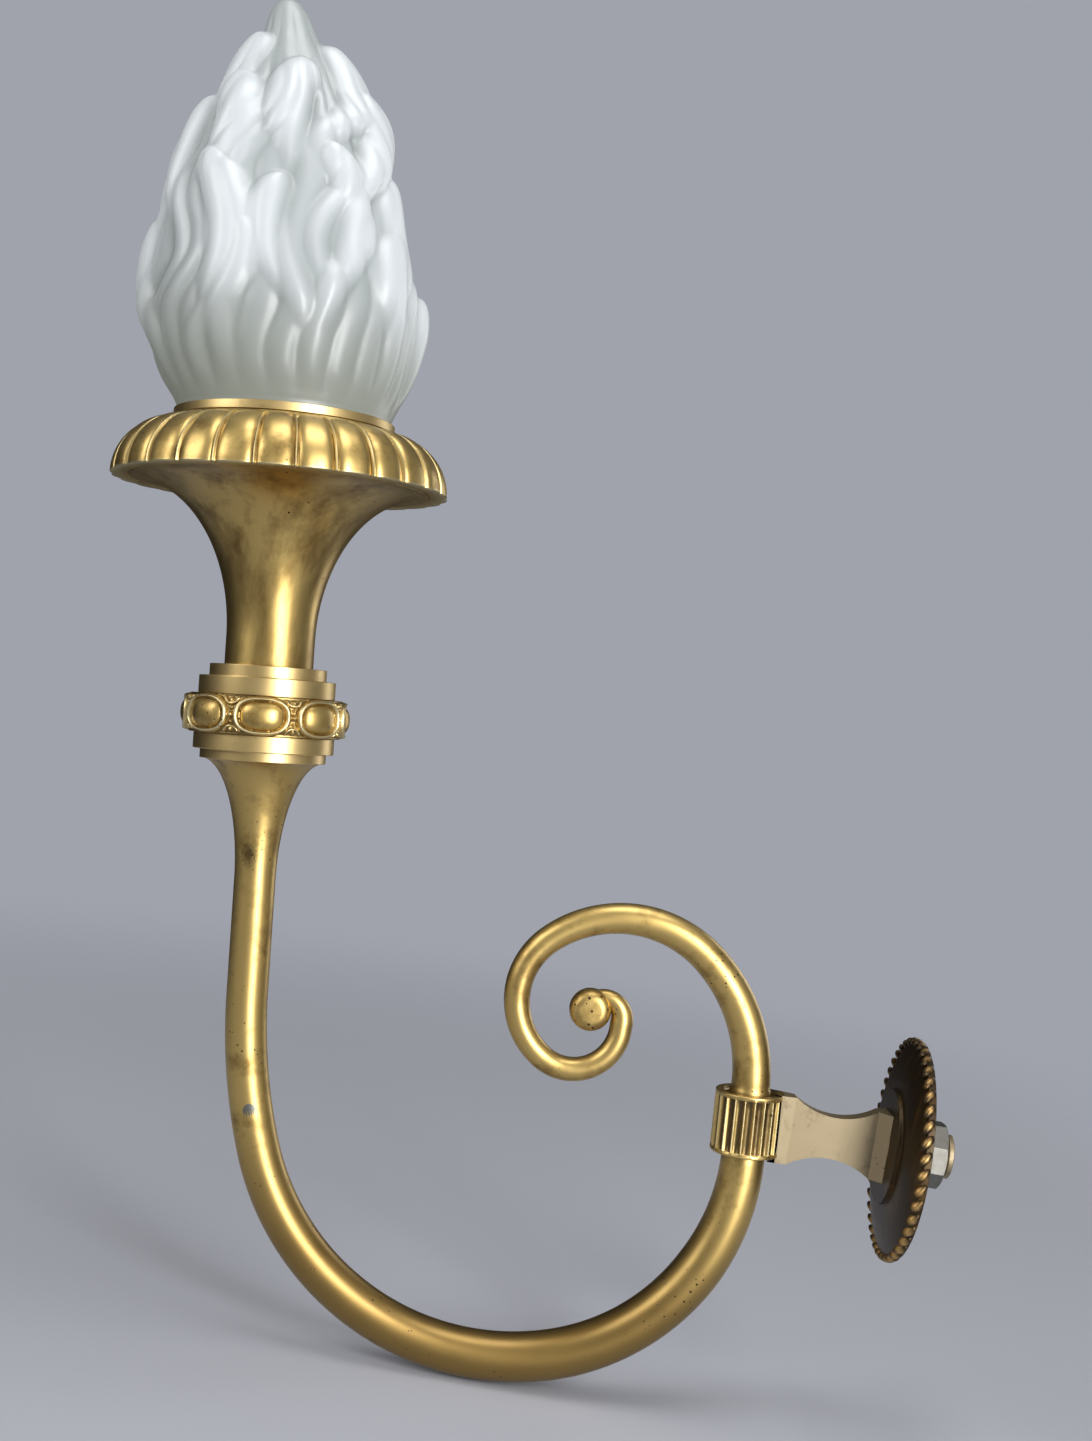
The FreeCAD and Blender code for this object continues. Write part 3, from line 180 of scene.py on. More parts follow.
class TorchSizes(bpy.types.PropertyGroup):
    """Rings of the torch, with heights up its axis."""
    foot_ring: length("Foot ring radius", 31.6, "Radius of the lowest ring")
    foot_top: length("Foot ring top", 4.8, "Top of the lowest ring")
    lower_band: length("Lower band radius", 35.3, "Radius of the band under the eggs")
    egg_base: length("Egg ring base", 13, "Lower edge of the egg ring")
    egg_top: length("Egg ring top", 32.5, "Upper edge of the egg ring")
    egg_ring: length("Egg ring radius", 37.6, "Radius of the egg ring's edges")
    egg_swell: length("Egg ring swell", 2.4, "Swell of the egg ring between its edges")
    egg_count: IntProperty(name="Eggs", default=8, description="Eggs round the ring")
    upper_band: length("Upper band radius", 34.3, "Radius of the band over the eggs")
    band_top: length("Upper band top", 41.5, "Top of that band")
    upper_ring: length("Upper ring radius", 29.4, "Radius of the ring under the trumpet")
    trumpet_base: length("Trumpet base", 47.5, "Foot of the trumpet")
    neck_top: length("Neck top", 62.1, "Where the trumpet starts to flare")
    neck: length("Neck radius", 22.3, "Radius of the trumpet's neck")
    flange: length("Flange height", 138.7, "Underside of the flange")
    trumpet_rim: length("Trumpet rim", 75, "Radius of the trumpet's flange")
    wall: length("Trumpet wall", 2.2, "Thickness of the spun shell")
    lobe_count: IntProperty(name="Gadroon lobes", default=27, description="Lobes round the gadrooned ring")
    lobe_centre: length("Lobe sweep centre", 55.5, "Radius at which the lobes' sweep is centred")
    lobe_sweep: length("Lobe sweep", 29, "Radius of the lobes' sweep")
    lobe_depth: length("Lobe depth", 2.6, "Depth of the grooves between lobes")
    band: length("Top band radius", 57.6, "Radius of the band over the lobes")
    band_height: length("Top band height", 168.2, "Height of that band's top")
    fitter: length("Cup radius", 55.5, "Outside radius of the glass's cup")
    fitter_bore: length("Cup bore", 53.9, "Inside radius of the glass's cup")
    fitter_low: length("Cup band foot", 169, "Lower edge of the cup's band")
    fitter_top: length("Cup band top", 173.2, "Upper edge of the cup's band")
    fitter_ledge: length("Cup ledge", 170, "Height of the ledge in the cup")
    fitter_floor: length("Cup floor", 163.2, "Height of the cup's floor")
    fitter_depth: length("Cup shank", 8, "Depth of the cup's shank in the gadrooned ring")
    fitter_shank: length("Shank radius", 50.3, "Radius of that shank")
    fitter_waist: length("Cup waist", 53, "Radius of the waist under the cup's band")
    fitter_hollow: length("Cup hollow", 47, "Radius of the hollow below the ledge")
    pipe_hole: length("Pipe hole", 5.15, "Radius of the hole for the central pipe")
    trumpet_floor: length("Trumpet floor", 4, "Thickness of the trumpet's foot")
    egg_bore: length("Egg ring bore", 31, "Inside radius of the egg ring")
    egg_turn: angle("Egg turn", 6.5, "Turn of the first egg")
    lobe_turn: angle("Lobe turn", -3.35, "Turn of the first lobe")
    lobe_bore: length("Lobed ring bore", 51, "Radius of the hole in the lobed ring")
    lobe_skirt: length("Skirt play", 0.8, "Gap between the lobed ring and the trumpet's rim")


class FlameSizes(bpy.types.PropertyGroup):
    """Glass flame."""
    foot: length("Foot height", 171.8, "Height of the glass's foot up the torch's axis")
    height: length("Height", 215, "Height of the glass")
    wall: length("Wall", 4.2, "Thickness of the glass")
    crown: length("Crown", 34, "Solid glass over the hollow")


class Finishes(bpy.types.PropertyGroup):
    """Colours of the finishes."""
    brass: colour("Brass", "C6A966", "Rubbed brass")
    aged: colour("Aged brass", "7E6230", "Brass gone brown")
    recess: colour("Recess", "3A2A16", "Dirt and patina in recesses")
    worn: colour("Worn brass", "F1E6B8", "Brass worn bright on edges")
    glass: colour("Frosted glass", "94989A", "Acid-frosted glass")
    floor: colour("Floor", "A7A9B1", "Pale floor")


def scene_sizes():
    return bpy.context.scene.sconce


# --- modelling --------------------------------------------------------------------------------------

def bevel(bm, edges, width, segments=2):
    if edges:
        bmesh.ops.bevel(bm, geom=edges, offset=width, offset_type="OFFSET", segments=segments, profile=0.5,
                        affect="EDGES", material=-1, clamp_overlap=True)


def sharp_edges(bm, least=math.radians(28)):
    return [edge for edge in bm.edges if edge.is_manifold and edge.calc_face_angle() > least]


def turned(profile, steps=144, closed=True, rounding=0.35 * MM, matrix=Matrix()):
    """A turned shape: an outline of (radius, height) corners spun once round Z, its corners rounded."""
    bm = bmesh.new()
    verts = [bm.verts.new((radius, 0, height)) for radius, height in profile]
    edges = [bm.edges.new(pair) for pair in zip(verts, verts[1:])]
    if closed:
        edges.append(bm.edges.new((verts[-1], verts[0])))
    bmesh.ops.spin(bm, geom=verts + edges, cent=(0, 0, 0), axis=(0, 0, 1), angle=math.tau, steps=steps,
                   use_merge=True, use_duplicate=False)
    bmesh.ops.remove_doubles(bm, verts=bm.verts, dist=0.01 * MM)
    bmesh.ops.recalc_face_normals(bm, faces=bm.faces)
    if rounding:
        bevel(bm, sharp_edges(bm), rounding)
    bmesh.ops.transform(bm, matrix=matrix, verts=bm.verts)
    return bm


def arc(centre, radius, first, last, count):
    """Corners along an arc of the outline, its angles in degrees."""
    corners = []
    for index in range(count + 1):
        turn = math.radians(first + (last - first) * index / count)
        corners.append((centre[0] + radius[0] * math.cos(turn), centre[1] + radius[1] * math.sin(turn)))
    return corners


def joined(*parts):
    """One bmesh that holds the closed shells of several."""
    whole = bmesh.new()
    for part in parts:
        holder = bpy.data.meshes.new("part")
        part.to_mesh(holder)
        part.free()
        whole.from_mesh(holder)
        bpy.data.meshes.remove(holder)
    return whole


def reshaped(bm, rule):
    """Moves each vertex by rule(angle, radius, height), which gives its new radius and height and its wear:
    from -1 in a recess to 1 on a worn edge."""
    wear_and_shade = bm.verts.layers.float.new("wear_and_shade")
    for vert in bm.verts:
        turn = math.atan2(vert.co.y, vert.co.x)
        radius, height, vert[wear_and_shade] = rule(turn, math.hypot(vert.co.x, vert.co.y), vert.co.z)
        vert.co = (radius * math.cos(turn), radius * math.sin(turn), height)
    return bm


def copied(node, width):
    """The frame's piece as one welded mesh with rounded edges."""
    bm = bmesh.new()
    bm.from_mesh(frame["nodes"][node].data)
    bmesh.ops.remove_doubles(bm, verts=bm.verts, dist=0.005 * MM)
    bmesh.ops.dissolve_limit(bm, angle_limit=math.radians(0.5), verts=bm.verts, edges=bm.edges)
    bmesh.ops.recalc_face_normals(bm, faces=bm.faces)
    bevel(bm, sharp_edges(bm), width)
    return bm


def piece(bm, name, slot, body="fixture", place=Matrix(), look=None, hides=()):
    """Makes the finished object: at the origin, smooth, with its finish, riding on its body."""
    bmesh.ops.transform(bm, matrix=place, verts=bm.verts)
    mesh = bpy.data.meshes.new(name)
    bm.to_mesh(mesh)
    bm.free()
    mesh.shade_smooth()
    mesh.materials.append(finish(look or slot))
    item = bpy.data.objects.new(name, mesh)
    bpy.context.scene.collection.objects.link(item)
    fair = item.modifiers.new("Fair shading", "WEIGHTED_NORMAL")
    fair.keep_sharp = True
    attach(item, body)
    if hides:
        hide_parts(*hides)
    return item


def along(heading, distance):
    return Vector((math.cos(heading) * distance, 0, math.sin(heading) * distance))


def stations(start, heading, radius, runs, spacing=2.2 * MM):
    """Places along straight runs and tangent arcs in the plane y = 0, as (point, heading, radius).
    A run is (length, end radius) or (bend radius, angle in degrees, end radius)."""
    places = [(start, heading, radius)]
    for run in runs:
        point, turn, size = places[-1]
        if len(run) == 2:
            distance, end_size = run
            count = max(1, round(distance / spacing))
            for index in range(1, count + 1):
                share = index / count
                places.append((point + along(turn, distance * share), turn, size + (end_size - size) * share))
            continue
        bend, degrees, end_size = run
        sweep = math.radians(degrees)
        side = math.copysign(math.pi / 2, sweep)
        centre = point + along(turn + side, bend)
        count = max(2, round(abs(sweep) * bend / spacing))
        for index in range(1, count + 1):
            share = index / count
            spot = centre + along(turn - side + sweep * share, bend)
            places.append((spot, turn + sweep * share, size + (end_size - size) * share))
    return places


def ring_matrix(place):
    """Sets a unit circle of the XY plane across the path."""
    point, heading, radius = place
    across = Matrix.Rotation(math.pi / 2 - heading, 4, "Y")
    return Matrix.Translation(point) @ across @ Matrix.Scale(radius, 4)


def swept(places, segments=48):
    """A round bar through the places, its two ends closed."""
    bm = bmesh.new()
    made = bmesh.ops.create_circle(bm, cap_ends=True, segments=segments, radius=1)
    bmesh.ops.transform(bm, matrix=ring_matrix(places[0]), verts=made["verts"])
    edges = list(bm.edges)
    for before, after in zip(places, places[1:]):
        grown = bmesh.ops.extrude_edge_only(bm, edges=edges)["geom"]
        verts = [item for item in grown if isinstance(item, bmesh.types.BMVert)]
        edges = [item for item in grown if isinstance(item, bmesh.types.BMEdge)
                 and all(vert in verts for vert in item.verts)]
        step = ring_matrix(after) @ ring_matrix(before).inverted()
        bmesh.ops.transform(bm, matrix=step, verts=verts)
    bmesh.ops.holes_fill(bm, edges=edges, sides=segments)
    bmesh.ops.recalc_face_normals(bm, faces=bm.faces)
    return bm


def smooth_step(value, low, high):
    share = np.clip((value - low) / (high - low), 0, 1)
    return share * share * (3 - 2 * share)


# --- finishes ---------------------------------------------------------------------------------------

def add_node(tree, kind, values=None, links=None, **settings):
    """Adds a node with its own settings, its inputs' values, and links from other nodes' outputs."""
    item = tree.nodes.new(kind)
    for name, value in settings.items():
        setattr(item, name, value)
    for name, value in (values or {}).items():
        item.inputs[name].default_value = value
    for name, source in (links or {}).items():
        tree.links.new(source, item.inputs[name])
    return item


def new_material(name):
    material = bpy.data.materials.new(name)
    material.use_nodes = True
    material.node_tree.nodes.clear()
    return material, material.node_tree


def close_material(tree, shader):
    add_node(tree, "ShaderNodeOutputMaterial", links={"Surface": shader.outputs[0]})


# The dark stain on the stem: its middle, how ragged its edge is, and between which distances from the
# middle, with the raggedness added, it fades out.
STEM_STAIN = (-0.3547, -0.021, 0.089)
STAIN_RAGGED = 6 * MM
STAIN_CORE = 13.5 * MM
STAIN_EDGE = 15.5 * MM
# The heights between which the arm's low bend is made browner and darker towards its bottom, and between which
# the glass goes from its grey foot to its own colour.
ARM_DARKER_BELOW = (-0.03, -0.1)
GLASS_FOOT = (0.305, 0.38)


def brass(name, roughness, mottle, pits, streaks, age, dull=0.0, stain=None, darker_below=None):
    """Aged brass. roughness is its polish, mottle the size of brown clouds, pits the spacing of casting
    pits (0 for none), streaks how far clouds stretch along Z, age how much of the surface has browned,
    dull how grey it has gone (below 0 for pale and bright), stain the middle of a dark stain and the last
    argument the two heights between which the metal grows browner and darker downwards."""
    colours = scene_sizes().finishes
    material, tree = new_material(name)
    place = add_node(tree, "ShaderNodeTexCoord").outputs["Object"]
    stretched = add_node(tree, "ShaderNodeMapping", {"Scale": (1, 1, 1 / streaks)}, {"Vector": place})
    clouds = add_node(tree, "ShaderNodeTexNoise", {"Scale": 1 / mottle, "Detail": 6, "Roughness": 0.62},
                      {"Vector": stretched.outputs[0]})
    browned = add_node(tree, "ShaderNodeMapRange", {"From Min": 0.62 - age, "From Max": 0.86 - age},
                       {"Value": clouds.outputs[0]})
    # Browner and darker towards the bottom, between the two heights given.
    if darker_below:
        level = add_node(tree, "ShaderNodeSeparateXYZ", links={0: place})
        low = add_node(tree, "ShaderNodeMapRange",
                       {"From Min": darker_below[0], "From Max": darker_below[1], "To Max": 0.75},
                       {"Value": level.outputs[2]})
        browned = add_node(tree, "ShaderNodeMath", links={0: browned.outputs[0], 1: low.outputs[0]},
                           operation="MAXIMUM")
    base = add_node(tree, "ShaderNodeMix", {6: colours.brass, 7: colours.aged}, {0: browned.outputs[0]},
                    data_type="RGBA")
    wear_and_shade = add_node(tree, "ShaderNodeAttribute", attribute_name="wear_and_shade").outputs["Fac"]
    sunk = add_node(tree, "ShaderNodeMapRange", {"From Min": -0.15, "From Max": -0.9, "To Max": 0.85},
                    {"Value": wear_and_shade})
    dirty = add_node(tree, "ShaderNodeMix", {7: colours.recess}, {0: sunk.outputs[0], 6: base.outputs[2]},
                     data_type="RGBA")
    rubbed = add_node(tree, "ShaderNodeMapRange", {"From Min": 0.25, "From Max": 1, "To Max": 0.75},
                      {"Value": wear_and_shade})
    bright = add_node(tree, "ShaderNodeMix", {7: colours.worn}, {0: rubbed.outputs[0], 6: dirty.outputs[2]},
                      data_type="RGBA")
    greyed = add_node(tree, "ShaderNodeHueSaturation", {"Saturation": 1 - abs(dull), "Value": 1 - 1.5 * dull},
                      {"Color": bright.outputs[2]})
    surface = greyed.outputs[0]
    grain = add_node(tree, "ShaderNodeTexNoise", {"Scale": 1 / (0.7 * MM), "Detail": 3, "Roughness": 0.6},
                     {"Vector": stretched.outputs[0]})
    relief = add_node(tree, "ShaderNodeBump", {"Strength": 0.12, "Distance": 0.05 * MM},
                      {"Height": grain.outputs[0]})
    normal = relief.outputs[0]
    rough = add_node(tree, "ShaderNodeMapRange", {"To Min": roughness - 0.05, "To Max": roughness + 0.12},
                     {"Value": clouds.outputs[0]})
    if pits:
        cells = add_node(tree, "ShaderNodeTexVoronoi", {"Scale": 1 / pits, "Randomness": 1},
                         {"Vector": place})
        sparse = add_node(tree, "ShaderNodeTexNoise", {"Scale": 1 / (9 * pits), "Detail": 2},
                          {"Vector": place})
        reach = add_node(tree, "ShaderNodeMapRange", {"From Min": 0.4, "From Max": 0.7, "To Max": 0.19},
                         {"Value": sparse.outputs[0]})
        hole = add_node(tree, "ShaderNodeMath", links={0: cells.outputs["Distance"], 1: reach.outputs[0]},
                        operation="LESS_THAN")
        spotted = add_node(tree, "ShaderNodeMix", {7: colours.recess}, {0: hole.outputs[0], 6: surface},
                           data_type="RGBA")
        surface = spotted.outputs[2]
        dent = add_node(tree, "ShaderNodeBump", {"Strength": 0.5, "Distance": 0.2 * MM},
                        {"Height": hole.outputs[0], "Normal": normal}, invert=True)
        normal = dent.outputs[0]
    if stain:
        away = add_node(tree, "ShaderNodeVectorMath", {1: stain}, {0: place}, operation="DISTANCE")
        blot = add_node(tree, "ShaderNodeMath", {1: STAIN_RAGGED},
                        {0: grain.outputs[0], 2: away.outputs["Value"]}, operation="MULTIPLY_ADD")
        seen = add_node(tree, "ShaderNodeMapRange",
                        {"From Min": STAIN_CORE, "From Max": STAIN_EDGE, "To Min": 0.8, "To Max": 0},
                        {"Value": blot.outputs[0]})
        stained = add_node(tree, "ShaderNodeMix", {7: colours.recess}, {0: seen.outputs[0], 6: surface},
                           data_type="RGBA")
        surface = stained.outputs[2]
    shader = add_node(tree, "ShaderNodeBsdfPrincipled",
                      {"Metallic": 1.0, "Coat Weight": 0.3, "Coat Roughness": 0.3},
                      {"Base Color": surface, "Roughness": rough.outputs[0], "Normal": normal})
    close_material(tree, shader)
    return material


def cast_brass():
    """Sand-cast brass, filed and rubbed: satin, with small dark pits."""
    return brass("Cast brass, hand-finished", 0.36, 16 * MM, 3.4 * MM, 1.0, 0.12, stain=STEM_STAIN,
                 darker_below=ARM_DARKER_BELOW)


def dulled_brass():
    """Cast brass left matt from the file: pale and greyish."""
    return brass("Cast brass, matt from the file", 0.5, 9 * MM, 3.5 * MM, 1.0, 0.05, dull=0.32)


def turned_brass():
    """Turned brass under old wax: smoother and paler, without pits."""
    return brass("Turned brass, waxed", 0.34, 22 * MM, 0, 1.0, 0.0, dull=-0.1)


def spun_brass():
    """Spun sheet brass gone brown in long streaks."""
    return brass("Spun brass, streaked", 0.32, 16 * MM, 7 * MM, 3.6, 0.18)


def patinated_brass():
    """Brass that was never rubbed: dark brown, with ochre where it shows through."""
    material, tree = new_material("Brass, dark patina")
    place = add_node(tree, "ShaderNodeTexCoord").outputs["Object"]
    stretched = add_node(tree, "ShaderNodeMapping", {"Scale": (1, 1, 0.25)}, {"Vector": place})
    clouds = add_node(tree, "ShaderNodeTexNoise", {"Scale": 1 / (9 * MM), "Detail": 6, "Roughness": 0.65},
                      {"Vector": stretched.outputs[0]})
    shown = add_node(tree, "ShaderNodeMapRange", {"From Min": 0.5, "From Max": 0.75, "To Max": 0.55},
                     {"Value": clouds.outputs[0]})
    base = add_node(tree, "ShaderNodeMix", {6: srgb("3A2E1D"), 7: srgb("7A5C2E")}, {0: shown.outputs[0]},
                    data_type="RGBA")
    wear_and_shade = add_node(tree, "ShaderNodeAttribute", attribute_name="wear_and_shade").outputs["Fac"]
    rubbed = add_node(tree, "ShaderNodeMapRange", {"From Min": 0.3, "From Max": 0.9}, {"Value": wear_and_shade})
    bright = add_node(tree, "ShaderNodeMix", {7: srgb("B28F58")}, {0: rubbed.outputs[0], 6: base.outputs[2]},
                      data_type="RGBA")
    relief = add_node(tree, "ShaderNodeBump", {"Strength": 0.3, "Distance": 0.15 * MM},
                      {"Height": clouds.outputs[0]})
    shader = add_node(tree, "ShaderNodeBsdfPrincipled", {"Metallic": 0.8, "Roughness": 0.4},
                      {"Base Color": bright.outputs[2], "Normal": relief.outputs[0]})
    close_material(tree, shader)
    return material


def grey_metal():
    """Dull tinned steel of the nut, washers and pipe."""
    material, tree = new_material("Steel, tinned and dulled")
    place = add_node(tree, "ShaderNodeTexCoord").outputs["Object"]
    clouds = add_node(tree, "ShaderNodeTexNoise", {"Scale": 1 / (5 * MM), "Detail": 5}, {"Vector": place})
    base = add_node(tree, "ShaderNodeMix", {6: srgb("8A8A86"), 7: srgb("6A6458")}, {0: clouds.outputs[0]},
                    data_type="RGBA")
    rough = add_node(tree, "ShaderNodeMapRange", {"To Min": 0.28, "To Max": 0.5},
                     {"Value": clouds.outputs[0]})
    shader = add_node(tree, "ShaderNodeBsdfPrincipled", {"Metallic": 1.0},
                      {"Base Color": base.outputs[2], "Roughness": rough.outputs[0]})
    close_material(tree, shader)
    return material


def frosted_glass():
    """Pressed glass frosted in acid: milky, with a silky sheen on its ridges. Its faint glow stands in for
    the room's light that comes through from behind."""
    material, tree = new_material("Pressed glass, acid-frosted")
    place = add_node(tree, "ShaderNodeTexCoord").outputs["Object"]
    grain = add_node(tree, "ShaderNodeTexNoise", {"Scale": 1 / (0.5 * MM), "Detail": 2}, {"Vector": place})
    relief = add_node(tree, "ShaderNodeBump", {"Strength": 0.08, "Distance": 0.05 * MM},
                      {"Height": grain.outputs[0]})
    wear_and_shade = add_node(tree, "ShaderNodeAttribute", attribute_name="wear_and_shade").outputs["Fac"]
    # Painted shade: the glass is painted darker grey in its valleys and keeps its own colour on its ridges.
    valley_shade = add_node(tree, "ShaderNodeMapRange", {"From Min": -1, "From Max": 0.6}, {"Value": wear_and_shade})
    tone = add_node(tree, "ShaderNodeMix", {6: srgb("696E6D"), 7: scene_sizes().finishes.glass},
                    {0: valley_shade.outputs[0]}, data_type="RGBA")
    level = add_node(tree, "ShaderNodeSeparateXYZ", links={0: place})
    raised = add_node(tree, "ShaderNodeMapRange", {"From Min": GLASS_FOOT[0], "From Max": GLASS_FOOT[1]},
                      {"Value": level.outputs[2]}, interpolation_type="SMOOTHSTEP")
    base = add_node(tree, "ShaderNodeMix", {6: srgb("62655E")}, {0: raised.outputs[0], 7: tone.outputs[2]},
                    data_type="RGBA")
    shader = add_node(tree, "ShaderNodeBsdfPrincipled",
                      {"Roughness": 0.4, "IOR": 1.5, "Subsurface Weight": 0.2,
                       "Subsurface Radius": (1, 1, 0.95), "Subsurface Scale": 3 * MM,
                       "Coat Weight": 0.3, "Coat Roughness": 0.3, "Emission Strength": 0.98},
                      {"Base Color": base.outputs[2], "Emission Color": base.outputs[2],
                       "Normal": relief.outputs[0]})
    close_material(tree, shader)
    return material


def plain_finish(name, colour_hex, roughness, metallic=0.0, transmission=0.0, speck=0.06):
    """A quiet finish with a little cloudiness, for what the shade hides."""
    material, tree = new_material(name)
    place = add_node(tree, "ShaderNodeTexCoord").outputs["Object"]
    clouds = add_node(tree, "ShaderNodeTexNoise", {"Scale": 1 / (4 * MM), "Detail": 4}, {"Vector": place})
    rough = add_node(tree, "ShaderNodeMapRange", {"To Min": roughness - speck, "To Max": roughness + speck},
                     {"Value": clouds.outputs[0]})
    shader = add_node(tree, "ShaderNodeBsdfPrincipled",
                      {"Base Color": srgb(colour_hex), "Metallic": metallic,
                       "Transmission Weight": transmission},
                      {"Roughness": rough.outputs[0]})
    close_material(tree, shader)
    return material


FINISHES = {
    "cast_brass": cast_brass,
    "dulled_brass": dulled_brass,
    "turned_brass": turned_brass,
    "spun_brass": spun_brass,
    "patinated_brass": patinated_brass,
    "grey_metal": grey_metal,
    "frosted_glass": frosted_glass,
    "clear_glass": lambda: plain_finish("Blown glass, clear", "F4F6F6", 0.06, transmission=1.0),
    "felt": lambda: plain_finish("Wool felt, pressed", "5B554C", 0.9),
    "porcelain": lambda: plain_finish("Porcelain, glazed", "E9E6DD", 0.22),
    "nickel": lambda: plain_finish("Nickel plate on brass", "B9B4A8", 0.25, metallic=1.0),
    "black_glass": lambda: plain_finish("Vitreous insulator, black", "0E0E10", 0.18),
}
MADE = {}


def finish(slot):
    """The finish of a material slot, made the first time it is asked for."""
    if slot not in MADE:
        MADE[slot] = FINISHES[slot]()
    return MADE[slot]


# --- operators: one for each piece or group of like pieces --------------------------------------------

class SconceOperator:
    bl_options = {"REGISTER"}


class SCONCE_OT_finishes(SconceOperator, bpy.types.Operator):
    """Gives each piece of the frame the finish of its slot"""
    bl_idname = "sconce.finishes"
    bl_label = "Finishes of the frame"

    def execute(self, context):
        for subpart in frame["record"]["subparts"]:
            node = frame["nodes"][subpart["node"]]
            node.data.materials.clear()
            node.data.materials.append(finish(subpart["material_slot"]))
        return {"FINISHED"}


class SCONCE_OT_plate(SconceOperator, bpy.types.Operator):
    """Domed wall plate with its rope edge"""
    bl_idname = "sconce.plate"
    bl_label = "Wall plate"

    def execute(self, context):
        size = scene_sizes().plate
        hole = size.stud_radius + size.stud_play
        dome_steps, dome_fullness = 12, 0.8
        rise = size.boss_foot - size.edge
        reach = size.radius - size.boss_radius
        dome = []
        for index in range(dome_steps + 1):
            height = math.sin(math.pi / 2 * index / dome_steps) ** dome_fullness
            dome.append((size.radius - reach * index / dome_steps, size.edge + rise * height))
        outline = [(hole, size.recess_depth), (size.recess_radius, size.recess_depth),
                   (size.recess_radius, 0), (size.radius, 0)]
        outline += dome + [(size.boss_radius, size.boss_top), (hole, size.boss_top)]
        plate = turned(outline, steps=132)
        wear_and_shade = plate.verts.layers.float.new("wear_and_shade")
        for vert in plate.verts:
            vert[wear_and_shade] = 0
        parts = [plate]
        for index in range(size.bead_count):
            bead = bmesh.new()
            layer = bead.verts.layers.float.new("wear_and_shade")
            bmesh.ops.create_uvsphere(bead, u_segments=14, v_segments=10, radius=1)
            for vert in bead.verts:
                vert[layer] = 0.9 - 0.9 * abs(vert.co.z) - 0.5 * max(0, -vert.co.y)
            form = Matrix.Diagonal((size.bead_radius, size.bead_radius, size.bead_length, 1))
            slant = Matrix.Rotation(size.bead_slant, 4, "X")
            seat = Matrix.Translation((size.radius - size.bead_sink, 0, size.bead_level))
            turn = Matrix.Rotation(math.tau * index / size.bead_count, 4, "Z")
            bmesh.ops.transform(bead, matrix=turn @ seat @ slant @ form, verts=bead.verts)
            parts.append(bead)
        piece(joined(*parts), "rope_edged_plate", "patinated_brass", place=WALL, hides=["wall_plate"])
        return {"FINISHED"}


class SCONCE_OT_stud(SconceOperator, bpy.types.Operator):
    """Stud and nut behind the plate"""
    bl_idname = "sconce.stud"
    bl_label = "Stud and nut"

    def execute(self, context):
        size = scene_sizes().plate
        end, crest, root = -size.stud_length, size.stud_radius, size.stud_radius - size.thread_depth
        chamfer, turns = 0.3 * MM, 2
        outline = [(size.stud_bore, size.boss_top), (size.stud_bore, end), (crest - chamfer, end),
                   (crest, end + chamfer)]
        for index in range(2 * turns + 1):
            outline.append((root if index % 2 else crest, end + size.thread_start + size.thread_step * index))
        outline.append((crest, size.boss_top))
        piece(turned(outline, 96, rounding=0.15 * MM), "threaded_stud", "turned_brass", place=WALL,
              look="dulled_brass", hides=["mounting_stud"])
        piece(copied("stud_nut", 0.3 * MM), "eight_sided_nut", "grey_metal", hides=["stud_nut"])
        return {"FINISHED"}


class SCONCE_OT_bracket(SconceOperator, bpy.types.Operator):
    """Waisted bracket between plate and clamp"""
    bl_idname = "sconce.bracket"
    bl_label = "Bracket"

    def execute(self, context):
        size = scene_sizes().clamp
        web = copied("bracket", 0.5 * MM)
        # The solid's jaws, past the web's shoulder, are twice as wide. Here they are pressed in, so that they
        # vanish in the clamp and the web's faces run up to the flutes.
        for vert in web.verts:
            if vert.co.x < -size.web_start:
                vert.co.y = math.copysign(min(abs(vert.co.y), size.web_end / 2), vert.co.y)
        piece(web, "waisted_bracket", "cast_brass", look="dulled_brass", hides=["bracket"])
        return {"FINISHED"}


def clamp_frame():
    size = scene_sizes().clamp
    return Matrix.Translation((-size.distance, 0, 0)) @ Matrix.Rotation(-size.lean, 4, "Y")


class SCONCE_OT_clamp(SconceOperator, bpy.types.Operator):
    """Fluted clamp round the arm's joint"""
    bl_idname = "sconce.clamp"
    bl_label = "Fluted clamp"

    def execute(self, context):
        size = scene_sizes().clamp
        half, lip = size.height / 2, size.height / 2 - size.lip
        step, chamfer, flute_share = 0.06 * MM, 0.4 * MM, 0.86
        rows = [-lip + step + (2 * lip - 2 * step) * index / 6 for index in range(7)]
        outline = [(size.joint_radius, -half), (size.radius - chamfer, -half),
                   (size.radius, -half + chamfer), (size.radius, -lip)]
        outline += [(size.radius, row) for row in rows]
        outline += [(size.radius, lip), (size.radius, half - chamfer), (size.radius - chamfer, half),
                    (size.groove_radius, half), (size.groove_radius, half - size.groove_depth),
                    (size.joint_radius, half - size.groove_depth)]

        def flute(turn, radius, height):
            if radius < size.radius - 0.1 * MM or abs(height) > lip - step / 2:
                return radius, height, 0.3 if radius > size.radius - 0.6 * MM else -0.6
            share = abs(((turn * size.flute_count / math.tau) % 1) - 0.5) * 2
            dip = math.sqrt(max(0, 1 - (share / flute_share) ** 2)) if share < flute_share else 0
            return radius - size.flute_depth * dip, height, 0.8 - 1.9 * dip

        clamp = reshaped(turned(outline, steps=size.flute_count * 14, rounding=0), flute)
        piece(clamp, "fluted_clamp", "cast_brass", place=clamp_frame(), hides=["fluted_collar"])
        return {"FINISHED"}


